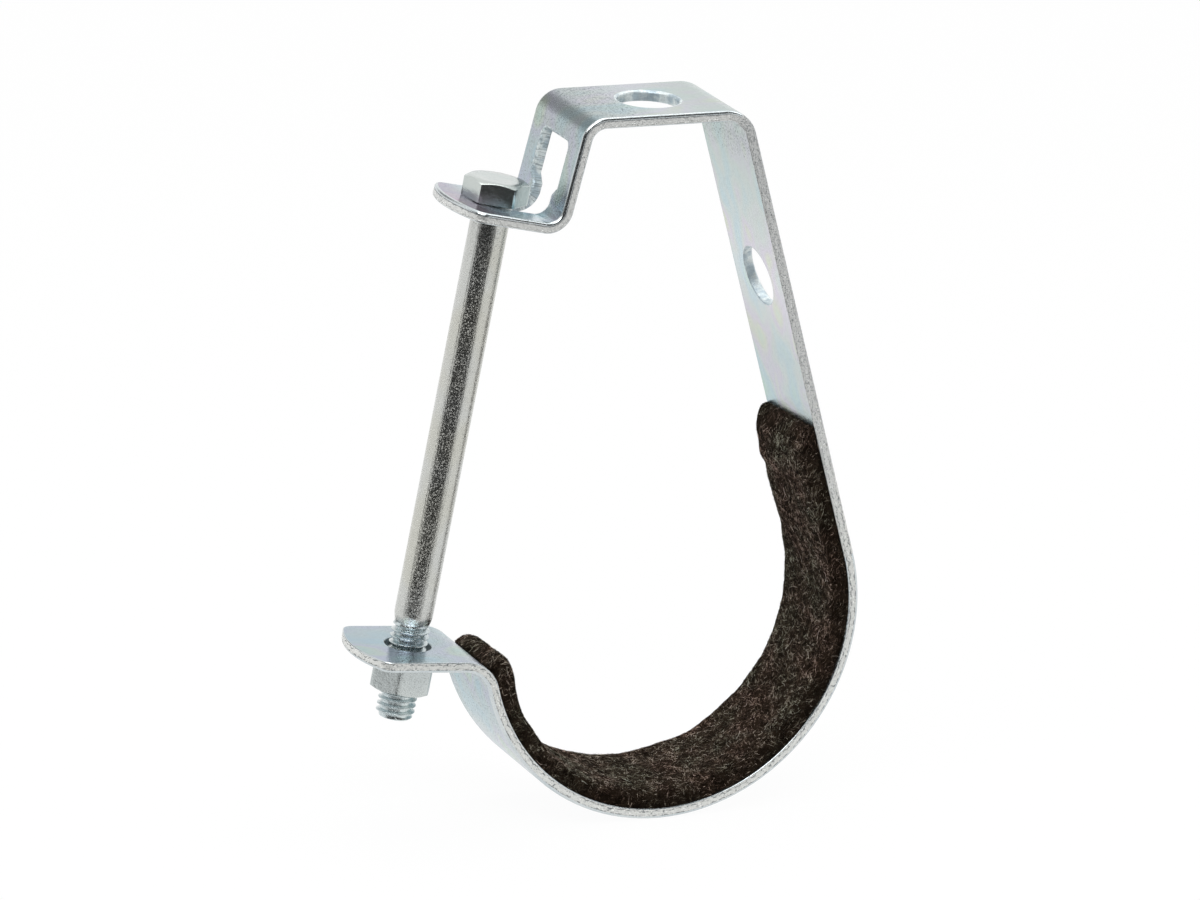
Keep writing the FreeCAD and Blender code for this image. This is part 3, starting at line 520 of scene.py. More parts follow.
@dataclass(frozen=True)
class PressedFelt(Finish):
    """The body of the felt, with its matted fibres as colour and height."""

    name: str = "pressed_felt"
    dark: Colour = (0.007, 0.004, 0.002)
    brown: Colour = (0.030, 0.020, 0.013)
    pale: Colour = (0.11, 0.083, 0.062)

    def shader(self, recipe: Recipe) -> Signal:
        """Lays pale strands both ways over two browns.

        Args:
            recipe: The material's node tree.

        Returns:
            The finish's shader.
        """
        place = recipe.place("unrolled")
        bend = recipe.noise(place, 0.5, 2.0, 0.6, "Color")
        bent = recipe.vectors("MULTIPLY_ADD", bend, (1.6, 1.6, 1.6), place)
        long_way = recipe.noise(recipe.stretch(bent, (0.6, 5.0, 5.0)), 1.0, 3.0, 0.65)
        cross_way = recipe.noise(recipe.stretch(bent, (5.0, 0.8, 5.0)), 1.0, 3.0, 0.65)
        lumps = recipe.noise(place, 0.35, 2.0, 0.5)
        strands = long_way.step(0.48, 0.72) + cross_way.step(0.52, 0.74, 0.0, 0.7)
        colour = recipe.mix(lumps.step(0.3, 0.7), self.dark, self.brown)
        colour = recipe.mix(strands.step(0.2, 1.4, 0.0, 0.7), colour, self.pale)
        normal = recipe.bump(strands + lumps, 0.35, 1.0)
        return recipe.surface(Base_Color=colour, Roughness=0.95, Specular_IOR_Level=0.03, Normal=normal)


@dataclass(frozen=True)
class WoolFibre(Finish):
    """Loose wool fibres on the felt, each with a tone of its own that has painted shade in it."""

    stops: Stops
    dyes: Stops = ((0.34, (0.90, 1.0, 0.93)), (0.5, (1.0, 0.98, 0.95)), (0.64, (1.0, 0.85, 0.83)))

    def shader(self, recipe: Recipe) -> Signal:
        """Colours each fibre by its own tone, which carries painted shade, and by dyes that drift over the felt.

        Args:
            recipe: The material's node tree.

        Returns:
            The finish's shader.
        """
        tone = recipe.node("Attribute", {"attribute_name": "tone"}, {}, "Fac")
        tint = recipe.ramp(recipe.noise(recipe.place(), 110.0, 1.0, 0.5), self.dyes)
        colour = recipe.mix(1.0, recipe.ramp(tone, self.stops), tint, "MULTIPLY")
        return recipe.surface(Base_Color=colour, Roughness=0.85, Specular_IOR_Level=0.06)


@dataclass(frozen=True)
class PalePaper(Finish):
    """Pale paper that keeps the hanger's shadow and looks white to the camera."""

    name: str = "pale_floor"
    tint: Colour = (0.86, 0.86, 0.86)
    glow_share: float = 0.96

    def shader(self, recipe: Recipe) -> Signal:
        """Mixes paper with an even glow for the rays that see it.

        Args:
            recipe: The material's node tree.

        Returns:
            The finish's shader.
        """
        paper = recipe.node("BsdfDiffuse", {}, {"Color": self.tint})
        glow = recipe.node("Emission", {}, {"Color": WHITE, "Strength": 1.0})
        seen = recipe.rays("Is Camera Ray", "Is Glossy Ray", "Is Transmission Ray") * self.glow_share
        return recipe.node("MixShader", {}, {0: seen, 1: paper, 2: glow})


# Shapes


def add_object(name: str, data: bpy.types.ID) -> bpy.types.Object:
    """Puts data into the scene as an object.

    Args:
        name: The object's name.
        data: Its mesh, lamp or camera.

    Returns:
        The object.
    """
    made = bpy.data.objects.new(name, data)
    bpy.context.scene.collection.objects.link(made)
    return made


def mesh_data(name: str, mesh: Mesh) -> bpy.types.Mesh:
    """Turns a mesh that is being edited into data and frees it.

    Args:
        name: The data's name.
        mesh: The mesh.

    Returns:
        The data.
    """
    data = bpy.data.meshes.new(name)
    mesh.to_mesh(data)
    mesh.free()
    return data


def cut(mesh: Mesh, point: Vector | Colour, normal: Vector | Colour, gap: float, **sides: bool) -> None:
    """Cuts a whole mesh with a plane; sides says which side is cleared."""
    everything = mesh.verts[:] + mesh.edges[:] + mesh.faces[:]
    bmesh.ops.bisect_plane(mesh, geom=everything, dist=gap, plane_co=point, plane_no=normal, **sides)


def extrude(mesh: Mesh, edges: list[Edge]) -> tuple[list[Edge], list[Vert]]:
    """Extrudes edges once and returns the new edges and vertices."""
    made = bmesh.ops.extrude_edge_only(mesh, edges=edges)["geom"]
    return [item for item in made if isinstance(item, Edge)], [item for item in made if isinstance(item, Vert)]


def keep_own_place(mesh: Mesh) -> None:
    """Keeps each vertex's place in the piece's own frame as an attribute.

    Args:
        mesh: The mesh, before it is moved or bent.
    """
    unrolled = mesh.verts.layers.float_vector.new("unrolled")
    for vert in mesh.verts:
        vert[unrolled] = vert.co


def finish_piece(name: str, mesh: Mesh, finishes: list[Finish], body: str,
                 smooth_below: float = 40.0) -> bpy.types.Object:
    """Turns a mesh in millimetres into a finished piece at the origin.

    Args:
        name: The piece's name.
        mesh: The mesh, which is freed.
        finishes: Its finishes in the order of the faces' material numbers.
        body: The body that it moves with.
        smooth_below: Edges sharper than this many degrees stay sharp.

    Returns:
        The object.
    """
    bmesh.ops.scale(mesh, vec=(MM, MM, MM), verts=mesh.verts[:])
    data = mesh_data(name, mesh)
    data.shade_smooth()
    data.set_sharp_from_angle(angle=math.radians(smooth_below))
    for finish in finishes:
        data.materials.append(finish.material())
    piece = add_object(name, data)
    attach(piece, body)
    LOG.info("%s: %d faces on %s", name, len(data.polygons), body)
    return piece


class Pen:
    """Draws a closed outline in the XY plane by extruding and spinning its last point."""

    def __init__(self, mesh: Mesh, x: float, y: float) -> None:
        """Sets the first point.

        Args:
            mesh: The mesh that is drawn in.
            x: The point's place along the blank.
            y: Its place across.
        """
        self.mesh = mesh
        self.first = bmesh.ops.create_vert(mesh, co=(x, y, 0.0))["vert"][0]
        self.last = self.first

    def draw(self, *strokes: tuple[float, ...]) -> None:
        """Draws lines and arcs one after the other and joins the last point to the first.

        Args:
            strokes: A line's end, or an arc's centre, its degrees anticlockwise and its steps.
        """
        for x, y, *turn in strokes:
            if turn:
                made = bmesh.ops.spin(
                    self.mesh, geom=[self.last], cent=(x, y, 0.0), axis=(0.0, 0.0, 1.0),
                    angle=math.radians(turn[0]), steps=turn[1], use_merge=False)
                self.last = next(item for item in made["geom_last"] if isinstance(item, Vert))
            else:
                self.last = bmesh.ops.extrude_vert_indiv(self.mesh, verts=[self.last])["verts"][0]
                self.last.co = (x, y, 0.0)
        if (self.last.co - self.first.co).length < 1e-4:
            bmesh.ops.weld_verts(self.mesh, targetmap={self.last: self.first})
        else:
            self.mesh.edges.new((self.last, self.first))


@dataclass
class Stretch:
    """One straight run or bend of a strip's middle line."""

    name: str
    length: float
    turn: float = 0.0
    start: float = 0.0
    point: Vector = field(default_factory=Vector)
    heading: float = 0.0

    @classmethod
    def bend(cls, name: str, radius: float, turn: float) -> "Stretch":
        """A bend by its middle radius and its turn in degrees."""
        return cls(name, radius * math.radians(abs(turn)), turn)

    @property
    def end(self) -> float:
        """Where it ends along the middle line."""
        return self.start + self.length

    def at(self, along: float) -> tuple[Vector, float]:
        """Point and heading at a distance into the stretch.

        Args:
            along: The distance.

        Returns:
            The point, and the heading in degrees.
        """
        if not self.turn:
            return self.point + heading_vector(self.heading) * along, self.heading
        radius = self.length / math.radians(abs(self.turn))
        side = math.copysign(90.0, self.turn)
        centre = self.point + heading_vector(self.heading + side) * radius
        heading = self.heading + self.turn * along / self.length
        return centre - heading_vector(heading + side) * radius, heading

    def centre(self) -> Vector:
        """Centre of a bend."""
        radius = self.length / math.radians(abs(self.turn))
        return self.point + heading_vector(self.heading + math.copysign(90.0, self.turn)) * radius


@dataclass
class StrapLine:
    """Middle line of the strap, from the lower flange's end to the upper flange's end."""

    lower_tilt: float = 4.8
    upper_tilt: float = 11.9
    half_thickness: float = 1.33
    stretches: list[Stretch] = field(default_factory=list)

    def __post_init__(self) -> None:
        """Lays out the runs and bends and centres the cradle."""
        half = self.half_thickness
        self.stretches = [
            Stretch("lower_flange", 25.1),
            Stretch.bend("lower_bend", 7.1 + half, 14.6 + self.lower_tilt - 90.0),
            Stretch.bend("cradle", 47.65 + half, 182.9),
            Stretch("leg", 115.0),
            Stretch.bend("shoulder_bend", 6.0 + half, 72.5),
            Stretch("top", 31.629),
            Stretch.bend("crown_bend", 3.8 + half, 77.6),
            Stretch("slotted_leg", 17.9),
            Stretch.bend("upper_bend", 3.5 + half, -77.6 - self.upper_tilt),
            Stretch("upper_flange", 21.4),
        ]
        point, heading, start = Vector(), -self.lower_tilt, 0.0
        for stretch in self.stretches:
            stretch.point, stretch.heading, stretch.start = point, heading, start
            point, heading = stretch.at(stretch.length)
            start = stretch.end
        shift = self["cradle"].centre()
        for stretch in self.stretches:
            stretch.point = stretch.point - shift

    def __getitem__(self, name: str) -> Stretch:
        """Finds a stretch by name."""
        return next(stretch for stretch in self.stretches if stretch.name == name)

    @property
    def length(self) -> float:
        """Length of the flat blank."""
        return self.stretches[-1].end

    def place(self, along: float, across: float, out: float) -> Vector:
        """Point of the bent strip.

        Args:
            along: Distance along the middle line.
            across: Distance along the pipe.
            out: Distance from the middle line, away from the pipe.

        Returns:
            The point in millimetres.
        """
        last = self.stretches[-1]
        stretch = next((item for item in self.stretches if along <= item.end), last)
        point, heading = stretch.at(along - stretch.start)
        return point + heading_vector(heading - 90.0) * out + Vector((0.0, across, 0.0))

    def fold_lines(self, step: float) -> list[float]:
        """Places where a flat strip needs an edge so that its bends come out round.

        Args:
            step: Most degrees of bend between two edges.

        Returns:
            Their distances along the strip.
        """
        lines = []
        for stretch in self.stretches:
            if stretch.turn:
                count = math.ceil(abs(stretch.turn) / step)
                lines += [stretch.start + stretch.length * index / count for index in range(count + 1)]
        return lines


def fold(mesh: Mesh, line: StrapLine) -> None:
    """Bends a flat mesh along the strap's line and keeps its flat place as an attribute.

    Args:
        mesh: The flat mesh.
        line: The strap's middle line.
    """
    keep_own_place(mesh)
    for vert in mesh.verts:
        vert.co = line.place(*vert.co)


class Face(IntEnum):
    """Kinds of face on the strap, by material number."""

    ROLLED = 0
    SHEARED = 1
    RIM = 2
    PIERCED = 3


@dataclass
class Strap:
    """The strap: a blank with its holes and its keyhole slot, folded into a J."""

    line: StrapLine
    width: float = 28.6
    thickness: float = 2.66
    tip_radius: float = 28.0
    tip_corner: float = 3.2
    lower_hole: tuple[float, float] = (15.0, 5.7625)
    upper_tip_reach: float = 13.4
    rod_hole: tuple[float, float] = (14.6, 7.55)
    side_hole: tuple[float, float] = (73.2, 7.6)
    window_start: float = 2.5
    window_height: float = 11.4
    window_half: float = 7.37
    window_corner: float = 1.8
    slot_half: float = 5.1625
    rolled_over: float = 0.74
    burr_round: float = 0.26
    fold_degrees: float = 3.0
    torn_share: float = 0.6

    def build(self) -> bpy.types.Object:
        """Makes the strap and dresses it.

        Returns:
            The strap.
        """
        mesh = bmesh.new()
        self._draw_outline(mesh)
        self._draw_keyhole(mesh)
        self._draw_holes(mesh)
        self._raise_walls(mesh)
        for along in self.line.fold_lines(self.fold_degrees):
            cut(mesh, (along, 0.0, 0.0), (1.0, 0.0, 0.0), 1e-4)
        leg, shoulder = self.line["leg"], self.line["shoulder_bend"]
        torn_until = shoulder.start + shoulder.length * self.torn_share
        for face in mesh.faces:
            if face.material_index == Face.RIM and leg.start < face.calc_center_median().x < torn_until:
                face.material_index = Face.SHEARED
        fold(mesh, self.line)
        bmesh.ops.recalc_face_normals(mesh, faces=mesh.faces[:])
        rim = BrightZinc("burnished_rim", (0.63, 0.67, 0.68), (0.57, 0.62, 0.64), 0.11, 0.03, 0.0, 0.15, 0.15)
        finishes = [RolledZinc(), ShearedZinc(), rim, PiercedZinc()]
        piece = finish_piece("zinc_strap", mesh, finishes, "hanger")
        weights = piece.modifiers.new("flat_faces", "WEIGHTED_NORMAL")
        weights.keep_sharp = True
        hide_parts("j_band")
        return piece

    def _draw_outline(self, mesh: Mesh) -> None:
        """Draws the blank's outline with its rounded ends.

        Args:
            mesh: The blank's mesh.
        """
        side = self.width / 2
        inner = self.tip_radius - self.tip_corner
        rise = side - self.tip_corner
        run = math.sqrt(inner ** 2 - rise ** 2)
        corner = self.tip_radius - run
        spread = math.degrees(math.asin(rise / inner))
        length = self.line.length
        rounding = (90.0 - spread, 6)
        Pen(mesh, corner, -side).draw(
            (length - corner, -side), (length - corner, -rise, *rounding),
            (length - self.tip_radius, 0.0, 2 * spread, 18), (length - corner, rise, *rounding),
            (corner, side), (corner, rise, *rounding), (self.tip_radius, 0.0, 2 * spread, 18),
            (corner, -rise, *rounding))

    def _draw_keyhole(self, mesh: Mesh) -> None:
        """Draws the window, its shoulders and the slot that ends round the bolt.

        Args:
            mesh: The blank's mesh.
        """
        start = self.line["slotted_leg"].start + self.window_start
        round_at = start + self.window_corner
        shoulder = start + self.window_height
        neck = shoulder + self.window_half - self.slot_half
        bolt = self.line.length - self.upper_tip_reach
        inner = self.window_half - self.window_corner
        wide, narrow = self.window_half, self.slot_half
        Pen(mesh, start, -inner).draw(
            (start, inner), (round_at, inner, -90.0, 6), (shoulder, wide), (neck, narrow), (bolt, narrow),
            (bolt, 0.0, -180.0, 24), (neck, -narrow), (shoulder, -wide), (round_at, -wide),
            (round_at, -inner, -90.0, 6))

    def _draw_holes(self, mesh: Mesh) -> None:
        """Draws the three round holes.

        Args:
            mesh: The blank's mesh.
        """
        for along, radius in (
            self.lower_hole,
            (self.line["leg"].start + self.side_hole[0], self.side_hole[1]),
            (self.line["top"].start + self.rod_hole[0], self.rod_hole[1]),
        ):
            matrix = Matrix.Translation((along, 0.0, 0.0))
            bmesh.ops.create_circle(mesh, cap_ends=False, segments=64, radius=radius, matrix=matrix)

    def _wall_rings(self) -> list[tuple[float, float, Face]]:
        """Lays out the rims, from the outer face down to the inner one.

        Returns:
            Each ring's inset, height and kind of face.
        """
        half, over, burr = self.thickness / 2, self.rolled_over, self.burr_round
        quarter = [math.radians(22.5 * index) for index in range(5)]
        rings = [(over * (1 - math.sin(turn)), half - over * (1 - math.cos(turn)), Face.RIM) for turn in quarter]
        return rings + [
            (burr * (1 - math.cos(turn)), burr * (1 - math.sin(turn)) - half, Face.RIM if turn else Face.SHEARED)
            for turn in quarter]

    @staticmethod
    def _loops(mesh: Mesh) -> list[list[Vert]]:
        """Sorts the vertices into loops that keep the metal on their left.

        Args:
            mesh: The drawn blank, which has edges only.

        Returns:
            The outline's vertices, then each hole's.
        """
        found, seen = [], set()
        for start in mesh.verts:
            if start in seen:
                continue
            loop, last, vert = [start], None, start
            while True:
                last = next(edge for edge in vert.link_edges if edge != last)
                vert = last.other_vert(vert)
                if vert == start:
                    break
                loop.append(vert)
            seen.update(loop)
            ahead = loop[1:] + loop[:1]
            found.append((sum(one.co.x * two.co.y - two.co.x * one.co.y for one, two in zip(loop, ahead)), loop))
        found.sort(key=lambda item: -abs(item[0]))
        return [loop[::-1] if (area > 0) == bool(index) else loop for index, (area, loop) in enumerate(found)]

    def _raise_walls(self, mesh: Mesh) -> None:
        """Gives the drawn blank its sheared walls, its rounded rims and both faces.

        Args:
            mesh: The drawn blank.
        """
        layers = mesh.verts.layers.float_vector
        for name in ("base", "inward", "pierced"):
            layers.new(name)
        base, inward, pierced = layers["base"], layers["inward"], layers["pierced"]
        for hole, loop in enumerate(self._loops(mesh)):
            for before, vert, after in zip(loop[-1:] + loop[:-1], loop, loop[1:] + loop[:1]):
                ahead = (after.co - before.co).normalized()
                vert[base] = vert.co
                vert[pierced] = (float(hole > 0), 0.0, 0.0)
                mitre = ahead.dot((after.co - vert.co).normalized())
                vert[inward] = Vector((-ahead.y, ahead.x, 0.0)) / max(0.5, mitre)
        edges, verts = mesh.edges[:], mesh.verts[:]
        outer_rim = edges
        for index, (inset, height, kind) in enumerate(self._wall_rings()):
            if index:
                edges, verts = extrude(mesh, edges)
                for face in {face for edge in edges for face in edge.link_faces}:
                    face.material_index = Face.PIERCED if face.verts[0][pierced].x else kind
            for vert in verts:
                vert.co = Vector(vert[base]) + Vector(vert[inward]) * inset + Vector((0.0, 0.0, height))
        for rim in (outer_rim, edges):
            bmesh.ops.triangle_fill(mesh, use_beauty=True, use_dissolve=False, edges=rim, normal=(0, 0, 1))
        for name in ("base", "inward", "pierced"):
            layers.remove(layers[name])


@dataclass
class HexRing:
    """Radius of a hexagon with slightly worn corners, by angle."""

    across_flats: float = 14.29
    corner_wear: float = 0.12

    def radius(self, angle: float) -> float:
        """Distance from the axis to the side.

        Args:
            angle: The angle in radians.

        Returns:
            The distance.
        """
        from_flat = angle % (math.pi / 3) - math.pi / 6
        corner = self.across_flats / 2 / math.cos(math.pi / 6)
        return min(self.across_flats / 2 / math.cos(from_flat), corner - self.corner_wear)


def loft_rings(mesh: Mesh, rings: list[Ring], segments: int) -> None:
    """Raises a closed ring of edges through a list of rings.

    Args:
        mesh: The mesh that gets the faces.
        rings: Each ring's radius and height, as numbers or by angle in radians.
        segments: Points on each ring.
    """
    known = len(mesh.edges)
    verts = bmesh.ops.create_circle(mesh, cap_ends=False, segments=segments, radius=1.0)["verts"]
    edges = mesh.edges[known:]
    for index, ring in enumerate(rings):
        if index:
            edges, verts = extrude(mesh, edges)
        for vert in verts:
            angle = math.atan2(vert.co.y, vert.co.x)
            radius, height = (value(angle) if callable(value) else value for value in ring)
            vert.co = (radius * math.cos(angle), radius * math.sin(angle), height)


@dataclass
class HexCorners:
    """A hexagon's side wall with both or one of its faces turned down to a cone."""

    hexagon: HexRing = field(default_factory=HexRing)
    face_radius: float = 6.85
    slope: float = math.tan(math.radians(30.0))
    rim_step: float = 0.02

    def drop(self, angle: float) -> float:
        """How far the cone lies below the face at the hexagon's side."""
        return max(0.0, self.hexagon.radius(angle) - self.face_radius) * self.slope

    def rim(self, angle: float) -> float:
        """Radius of a turned face's rim."""
        return min(self.face_radius, self.hexagon.radius(angle) - self.rim_step)

    def wall(self, bottom: float, top: float, cone_below: bool) -> list[Ring]:
        """Rings of the side wall, up to the rim of the upper face.

        Args:
            bottom: Height of the lower face.
            top: Height of the upper face.
            cone_below: Whether the lower face is turned down as well.

        Returns:
            The rings in order.
        """
        side = self.hexagon.radius
        lower = (lambda angle: bottom + self.drop(angle)) if cone_below else bottom
        return [(side, lower), (side, lambda angle: top - self.drop(angle)), (self.rim, top)]


@dataclass
class BoltFrame:
    """Place of the bolt's axis, with its own upward direction."""

    tilt: float = 8.2

    def matrix(self, seat: tuple[float, float], turn: float) -> Matrix:
        """Frame of a piece on the axis.

        Args:
            seat: The piece's seat on the axis, as x and z.
            turn: Its turn about the axis in degrees.

        Returns:
            The frame.
        """
        lean = Matrix.Rotation(math.radians(self.tilt), 4, "Y")
        spin = Matrix.Rotation(math.radians(turn), 4, "Z")
        return Matrix.Translation((seat[0], 0.0, seat[1])) @ lean @ spin


@dataclass
class SideBolt:
    """The hexagon bolt with its rolled thread."""

    axis: BoltFrame
    seat: tuple[float, float] = (-48.695, 107.886)
    turn: float = 37.4
    radius: float = 4.7625
    length: float = 131.483
    head_height: float = 5.4
    pitch: float = 1.5875
    thread_length: float = 24.4
    thread_depth: float = 0.92
    crest_round: float = 0.04
    end_chamfer: float = 1.0
    bearing_edge: float = 0.1
    crown_radii: tuple[float, ...] = (5.0, 2.5, 0.01)
    shank_ends: tuple[Band, ...] = ((0.0, 2.3), (0.05, 1.7), (0.2, 1.1), (0.35, 0.5), (0.45, 0.0), (0.9, -0.8))
    neck: float = 0.3
    runout: float = 1.8
    segments: int = 96
    thread_steps: int = 48

    def build(self) -> bpy.types.Object:
        """Makes the bolt and dresses it.

        Returns:
            The bolt.
        """
        mesh = bmesh.new()
        self._make_head(mesh)
        self._make_shank(mesh)
        self._make_thread(mesh)
        keep_own_place(mesh)
        bmesh.ops.transform(mesh, matrix=self.axis.matrix(self.seat, self.turn), verts=mesh.verts[:])
        forged = BrightZinc("forged_head", (0.57, 0.61, 0.59), (0.47, 0.54, 0.53), 0.04, 0.028, 0.0, 0.14, 0.10)
        drawn = BrightZinc("drawn_shank", (0.55, 0.55, 0.50), (0.57, 0.58, 0.56), 0.06, 0.05, 0.07, 0.30, 0.80)
        rolled = BrightZinc("rolled_thread", (0.68, 0.74, 0.74), (0.58, 0.65, 0.67), 0.14, 0.05, 0.0, 0.15, 0.45)
        piece = finish_piece("hex_bolt", mesh, [forged, rolled, drawn], "bolt", 32.0)
        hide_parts("side_bolt")
        return piece

    def _make_head(self, mesh: Mesh) -> None:
        """Makes the head with its underside and top closed.

        Args:
            mesh: The bolt's mesh.
        """
        corners = HexCorners()
        edge = self.bearing_edge
        bearing: list[Ring] = [
            (self.radius + self.neck, 0.0), (lambda angle: corners.hexagon.radius(angle) - edge, 0.0)]
        crown: list[Ring] = [(radius, self.head_height) for radius in self.crown_radii]
        loft_rings(mesh, bearing + corners.wall(edge, self.head_height, False) + crown, self.segments)

    def _make_shank(self, mesh: Mesh) -> None:
        """Makes the neck's fillet and the plain shank down to the thread.

        Args:
            mesh: The bolt's mesh.
        """
        rings: list[Ring] = []
        for index in range(5):
            angle = math.radians(90.0 * index / 4)
            out = self.neck * (1.0 - math.sin(angle))
            down = self.neck * (1.0 - math.cos(angle))
            rings.append((self.radius + out, -down))
        thread_top = self.thread_length - self.length
        for share, above in self.shank_ends:
            rings.append((self.radius - self.thread_depth * share, thread_top + above))
        head_faces = set(mesh.faces)
        loft_rings(mesh, rings, self.segments)
        for face in set(mesh.faces) - head_faces:
            face.material_index = 2

    def _make_thread(self, mesh: Mesh) -> None:
        """Winds the thread's profile up from the end and trims it at both ends.

        Args:
            mesh: The bolt's mesh.
        """
        turns = math.ceil(self.thread_length / self.pitch) + 2
        start = -self.length - self.pitch
        root = self.radius - self.thread_depth
        crest = self.radius - self.crest_round
        profile = [
            (root, 0.0), (root, 0.14), (crest, 0.42), (self.radius, 0.47), (self.radius, 0.53), (crest, 0.58),
            (root, 0.86), (root, 1.0),
        ]
        wire = bmesh.new()
        last = bmesh.ops.create_vert(wire, co=(profile[0][0], 0.0, start))["vert"][0]
        for radius, height in profile[1:]:
            last = bmesh.ops.extrude_vert_indiv(wire, verts=[last])["verts"][0]
            last.co = (radius, 0.0, start + height * self.pitch)
        bmesh.ops.spin(
            wire, geom=wire.verts[:] + wire.edges[:], cent=(0, 0, 0), axis=(0, 0, 1),
            dvec=(0, 0, self.pitch / self.thread_steps), angle=2 * math.pi * turns,
            steps=self.thread_steps * turns, use_merge=False)
        bmesh.ops.remove_doubles(wire, verts=wire.verts[:], dist=1e-4)
        self._trim_thread(wire, root)
        data = mesh_data("thread_part", wire)
        mesh.from_mesh(data)
        bpy.data.meshes.remove(data)

    def _trim_thread(self, wire: Mesh, root: float) -> None:
        """Cuts the thread to length, runs it out at the top and points its end.

        Args:
            wire: The thread's mesh.
            root: The thread's least radius.
        """
        top = self.thread_length - self.length
        for height, keep_up in ((-self.length, True), (top, False)):
            cut(wire, (0.0, 0.0, height), (0.0, 0.0, 1.0), 1e-5, clear_inner=keep_up, clear_outer=not keep_up)
        for vert in wire.verts:
            reach = math.hypot(vert.co.x, vert.co.y)
            from_end = vert.co.z + self.length
            runout = max(0.0, (vert.co.z - top + self.runout) / self.runout)
            limit = self.radius - max(0.0, self.end_chamfer - from_end) - self.thread_depth * 0.5 * runout
            floor = root + self.thread_depth * 0.45 * runout ** 2
            wanted = min(max(reach, floor), limit)
            vert.co.x *= wanted / reach
            vert.co.y *= wanted / reach
        open_edges = [
            edge for edge in wire.edges
            if len(edge.link_faces) == 1 and all(abs(vert.co.z + self.length) < 0.01 for vert in edge.verts)
        ]
        bmesh.ops.holes_fill(wire, edges=open_edges, sides=0)
        for face in wire.faces:
            face.material_index = 1


@dataclass
class HexNut:
    """The nut under the lower flange."""

    axis: BoltFrame
    seat: tuple[float, float] = (-65.248, -6.98)
    turn: float = 2.0
    height: float = 8.33
    bore: float = 4.8125
    countersink: float = 0.6
    segments: int = 96

    def build(self) -> bpy.types.Object:
        """Makes the nut and dresses it.

        Returns:
            The nut.
        """
        mesh = bmesh.new()
        corners = HexCorners()
        rings: list[Ring] = [
            (self.bore, -self.height + self.countersink),
            (self.bore + self.countersink, -self.height),
            (corners.rim, -self.height),
        ]
        rings += corners.wall(-self.height, 0.0, True)
        rings += [
            (self.bore + self.countersink, 0.0), (self.bore, -self.countersink),
            (self.bore, -self.height + self.countersink),
        ]
        loft_rings(mesh, rings, self.segments)
        bmesh.ops.remove_doubles(mesh, verts=mesh.verts[:], dist=1e-4)
        bmesh.ops.recalc_face_normals(mesh, faces=mesh.faces[:])
        keep_own_place(mesh)
        bmesh.ops.transform(mesh, matrix=self.axis.matrix(self.seat, self.turn), verts=mesh.verts[:])
        bright = BrightZinc("bright_zinc_nut", (0.60, 0.64, 0.63), (0.54, 0.58, 0.58), 0.20, 0.05, 0.0, 0.20, 0.1)
        piece = finish_piece("flange_nut", mesh, [bright], "nut", 32.0)
        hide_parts("hex_nut")
        return piece


class Fibre(Enum):
    """Sorts of loose fibre: name, count, width, length, stand-off and the tones from dark to light."""

    MATTED = ("felt_matted_fibres", 46000, 0.18, 1.7, 0.22, (
        (0.0, (0.004, 0.003, 0.002)), (0.28, (0.017, 0.011, 0.007)), (0.53, (0.094, 0.071, 0.052)),
        (0.8, (0.34, 0.285, 0.23)), (1.0, (0.74, 0.65, 0.55))))
    LOOSE = ("felt_loose_fibres", 2600, 0.09, 2.6, 0.45, (
        (0.0, (0.08, 0.06, 0.045)), (0.6, (0.22, 0.175, 0.14)), (1.0, (0.55, 0.48, 0.40))))
    WHITE = ("felt_white_hairs", 80, 0.22, 4.5, 0.5, (
        (0.0, (0.45, 0.40, 0.34)), (1.0, (0.85, 0.80, 0.72))))


